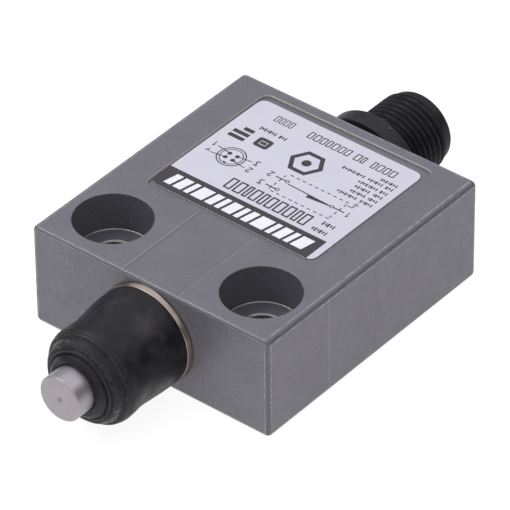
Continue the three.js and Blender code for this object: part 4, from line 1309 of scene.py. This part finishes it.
def small_print(art):
    """Dashes and boxes where the real label has words and numbers."""
    left = -12.8
    rows = [
        (-2.45, (2.2, 3.2)), (-3.55, (1.6, 2.5)), (-4.65, (1.7, 2.5)), (-5.75, (1.2, 3.3)),
        (-6.95, (1.3, 2.6, 3.8)), (-7.95, (3.0,)),
    ]
    for v, lengths in rows:
        art.words(left, v, lengths, 0.6)
    art.words(-11.9, 6.0, (2.5,), 0.8)
    art.words(-11.9, 4.3, (2.1,), 0.8)
    art.words(5.5, -6.95, (1.3, 2.9), 0.7)
    art.boxes(-8.3, 4.35, (1.2, 0.9, 1.2, 1.3, 1.2, 0.9, 1.2), 2.5, 0.3, 0.27)
    art.boxes(1.7, 4.35, (0.8, 1.3, 1.2), 2.5, 0.3, 0.27)
    art.boxes(-11.1, -10.3, (0.9, 0.8, 0.9, 0.7), 1.5, 0.24, 0.17)
    art.boxes(-5.9, -10.3, (0.6, 0.9), 1.5, 0.24, 0.17)
    art.boxes(-3.3, -10.3, (0.8, 0.8, 0.9, 0.7, 0.8, 0.9, 0.8), 1.5, 0.24, 0.17)
    art.boxes(6.6, -10.3, (0.6, 0.65, 0.6, 0.65), 1.4, 0.2, 0.14)


def plain_signs(art):
    """Two plain signs where the real label has certification marks."""
    art.frame(6.2, -5.1, 8.6, -3.0, 0.5, 0.6)
    art.bar(6.9, -4.35, 7.9, -3.75)
    for v, end in ((-3.3, 12.6), (-4.4, 12.6), (-5.5, 11.6)):
        art.bar(9.9, v, end, v + 0.7)
    middle = -4.2
    hexagons = [
        [(size * math.cos(t), middle + size * math.sin(t)) for t in turns(6)] for size in (2.0, 2.75)
    ]
    art.prism(*hexagons, closed=True)
    art.disc(0, middle, 0.7)


def label_print():
    """Generic print: a plain band, boxes and dashes for words, and the two technical diagrams."""
    top = (LABEL_HIGH.z - LABEL_LOW.z) / 2
    dark = Artwork(top)
    head_band(dark)
    contact_diagram(dark)
    pinout_diagram(dark)
    small_print(dark)
    plain_signs(dark)
    dark.piece("label_print_dark", BLACK_INK)
    light = Artwork(top + INK_HEIGHT)
    widths = (1.9, 0.8, 1.4, 0.8, 2.2, 1.1, 0.8, 1.6, 0.8, 1.2, 2.0, 0.8, 1.4, 1.1)
    light.slanted(-11.8, 8.5, widths, 2.5, 0.45, 0.5)
    light.piece("label_print_light", WHITE_INK)


# -------- inner pieces, kept from the CAD

RED_PLASTIC = plastic("switch_plastic", (0.3, 0.035, 0.022), 0.42)
WHITE_PLASTIC = plastic("insulator_plastic", (0.66, 0.64, 0.58), 0.45, speckle=0.04)
BRASS = sheet_metal("terminal_brass", (0.62, 0.4, 0.19))
SILVER = sheet_metal("silver_contact", (0.75, 0.74, 0.73), 0.25)
SCREW_STEEL = sheet_metal("screw_steel", (0.5, 0.5, 0.5))

INNER_PIECES = [
    (RED_PLASTIC, ["switch_case", "switch_cover"]),
    (WHITE_PLASTIC, ["switch_button", "insulating_liner", "rod_guide"]),
    (STAINLESS, ["actuator_rod"]),
    (PLATED, ["connector_nut"]),
    (SCREW_STEEL, ["switch_screw_left", "switch_screw_right", "ground_screw"]),
    (BRASS, ["common_terminal", "normally_open_terminal", "normally_closed_terminal", "contact_blade"]),
    (SILVER, ["ground_tag", "moving_contact", "normally_open_contact", "normally_closed_contact"]),
]
LEAD_COLOURS = {
    "lead_common": (0.02, 0.02, 0.022),
    "lead_normally_open": (0.025, 0.08, 0.36),
    "lead_normally_closed": (0.36, 0.03, 0.022),
    "lead_ground": (0.04, 0.2, 0.045),
}


def merge_corners(obj):
    """Welds the frame's separate triangles, so that later modifiers see one surface."""
    weld = obj.modifiers.new("weld", "WELD")
    weld.merge_threshold = 0.001 * MM


def ease_edges(obj, width=0.06):
    merge_corners(obj)
    flats = obj.modifiers.new("flats", "DECIMATE")
    flats.decimate_type = "DISSOLVE"
    flats.angle_limit = math.radians(1)
    bevel = obj.modifiers.new("bevel", "BEVEL")
    bevel.width = width * MM
    bevel.segments = 2
    bevel.limit_method = "ANGLE"
    bevel.angle_limit = math.radians(40)


def inner_pieces():
    for material, names in INNER_PIECES:
        for name in names:
            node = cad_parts[name]
            paint(node, material)
            ease_edges(node)
    for name, colour in LEAD_COLOURS.items():
        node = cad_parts[name]
        paint(node, insulation(name + "_insulation", colour))
        merge_corners(node)
        smooth = node.modifiers.new("smooth", "SUBSURF")
        smooth.levels = 2
        smooth.render_levels = 2


# -------- stage, light and camera

HORIZON_STRENGTH = 0.16
ZENITH_STRENGTH = 1.36
DIM_FACTOR = 0.2
DIM_DIRECTION = (0.74, 0.6, 0.3)


def floor():
    bm = bmesh.new()
    half = 3000
    top = -0.02
    corners = [(-half, -half), (half, -half), (half, half), (-half, half)]
    bm.faces.new([bm.verts.new((x, y, top)) for x, y in corners])
    plane = add_object("floor", bm)
    s = Surface("floor")
    s.set(Base_Color=(0.2, 0.2, 0.2), Roughness=0.9)
    s.set(Emission_Color=(1.0, 1.0, 1.0), Emission_Strength=0.89)
    paint(plane, s.material)


def place_facing(obj, target, direction, distance, roll=0.0):
    """Puts a light or the camera at this distance from its target in millimetres, facing it."""
    away = Vector(direction).normalized()
    obj.location = (target + away * distance) * MM
    obj.rotation_mode = "QUATERNION"
    obj.rotation_quaternion = away.to_track_quat("Z", "Y") @ Quaternion((0, 0, 1), roll)
    bpy.context.scene.collection.objects.link(obj)


def soft_light(name, direction, distance, size, power):
    """A square soft box that faces the middle of the housing."""
    light = bpy.data.lights.new(name, "AREA")
    light.size = size * MM
    light.energy = power
    middle = Vector((0, (FRONT + BACK) / 2, AXIS_Z))
    place_facing(bpy.data.objects.new(name, light), middle, direction, distance)


def sky():
    """A pale sky, brightest overhead, with one dim side that the rounded edges mirror as dark lines."""
    world = bpy.data.worlds.new("studio")
    world.use_nodes = True
    s = Nodes(world.node_tree)
    direction = s.node("ShaderNodeTexCoord").outputs["Generated"]
    overhead = s.band(s.along(direction, (0, 0, 1)), 0.0, 1.0, HORIZON_STRENGTH, ZENITH_STRENGTH)
    dimming = s.band(s.along(direction, DIM_DIRECTION), 0.6, 0.95, 1.0, DIM_FACTOR)
    background = s.tree.nodes["Background"]
    s.feed(background.inputs["Strength"], s.times(overhead, dimming))
    s.feed(background.inputs["Color"], (0.94, 0.95, 1.0))
    bpy.context.scene.world = world


def studio():
    sky()
    soft_light("key", (-0.5, -0.36, 0.79), distance=500, size=240, power=0.85)
    soft_light("front", (0.39, -0.79, 0.47), distance=600, size=120, power=0.12)
    soft_light("side", (0.75, -0.1, 0.6), distance=500, size=200, power=0.12)
    soft_light("back", (0.4, 0.61, 0.68), distance=800, size=260, power=0.6)
    bpy.context.scene.view_settings.view_transform = "Standard"


# The camera looks at the switch from its front right, from above.
CAMERA_AZIMUTH = math.radians(39.4817)
CAMERA_ELEVATION = math.radians(37.7818)
CAMERA_ROLL = math.radians(-0.6085)
CAMERA_DISTANCE = 699.2187
CAMERA_TARGET = Vector((0.5393, 13.5145, 8.0))
CAMERA_LENS = 368.01
SENSOR_WIDTH = 36.0


def camera():
    level = math.cos(CAMERA_ELEVATION)
    side, ahead = math.sin(CAMERA_AZIMUTH) * level, -math.cos(CAMERA_AZIMUTH) * level
    data = bpy.data.cameras.new("camera")
    data.lens = CAMERA_LENS
    data.sensor_width = SENSOR_WIDTH
    data.clip_start = 0.01
    data.clip_end = 20
    obj = bpy.data.objects.new("camera", data)
    towards_camera = (side, ahead, math.sin(CAMERA_ELEVATION))
    place_facing(obj, CAMERA_TARGET, towards_camera, CAMERA_DISTANCE, CAMERA_ROLL)
    bpy.context.scene.camera = obj


camera()
studio()
floor()
housing()
rear_cover()
cover_gasket()
head_bushing()
boot()
plunger_pin()
springs()
ring_seal("plunger_seal_ring", SEAL_RADIUS, SEAL_WIRE, SEAL_Y, "plunger_seal")
connector_shell()
connector_insert()
connector_pins()
ring_seal("connector_seal_ring", FLANGE_SEAL_RADIUS, FLANGE_SEAL_WIRE, FLANGE_SEAL_Y, "connector_seal")
label_sheet()
label_print()
inner_pieces()
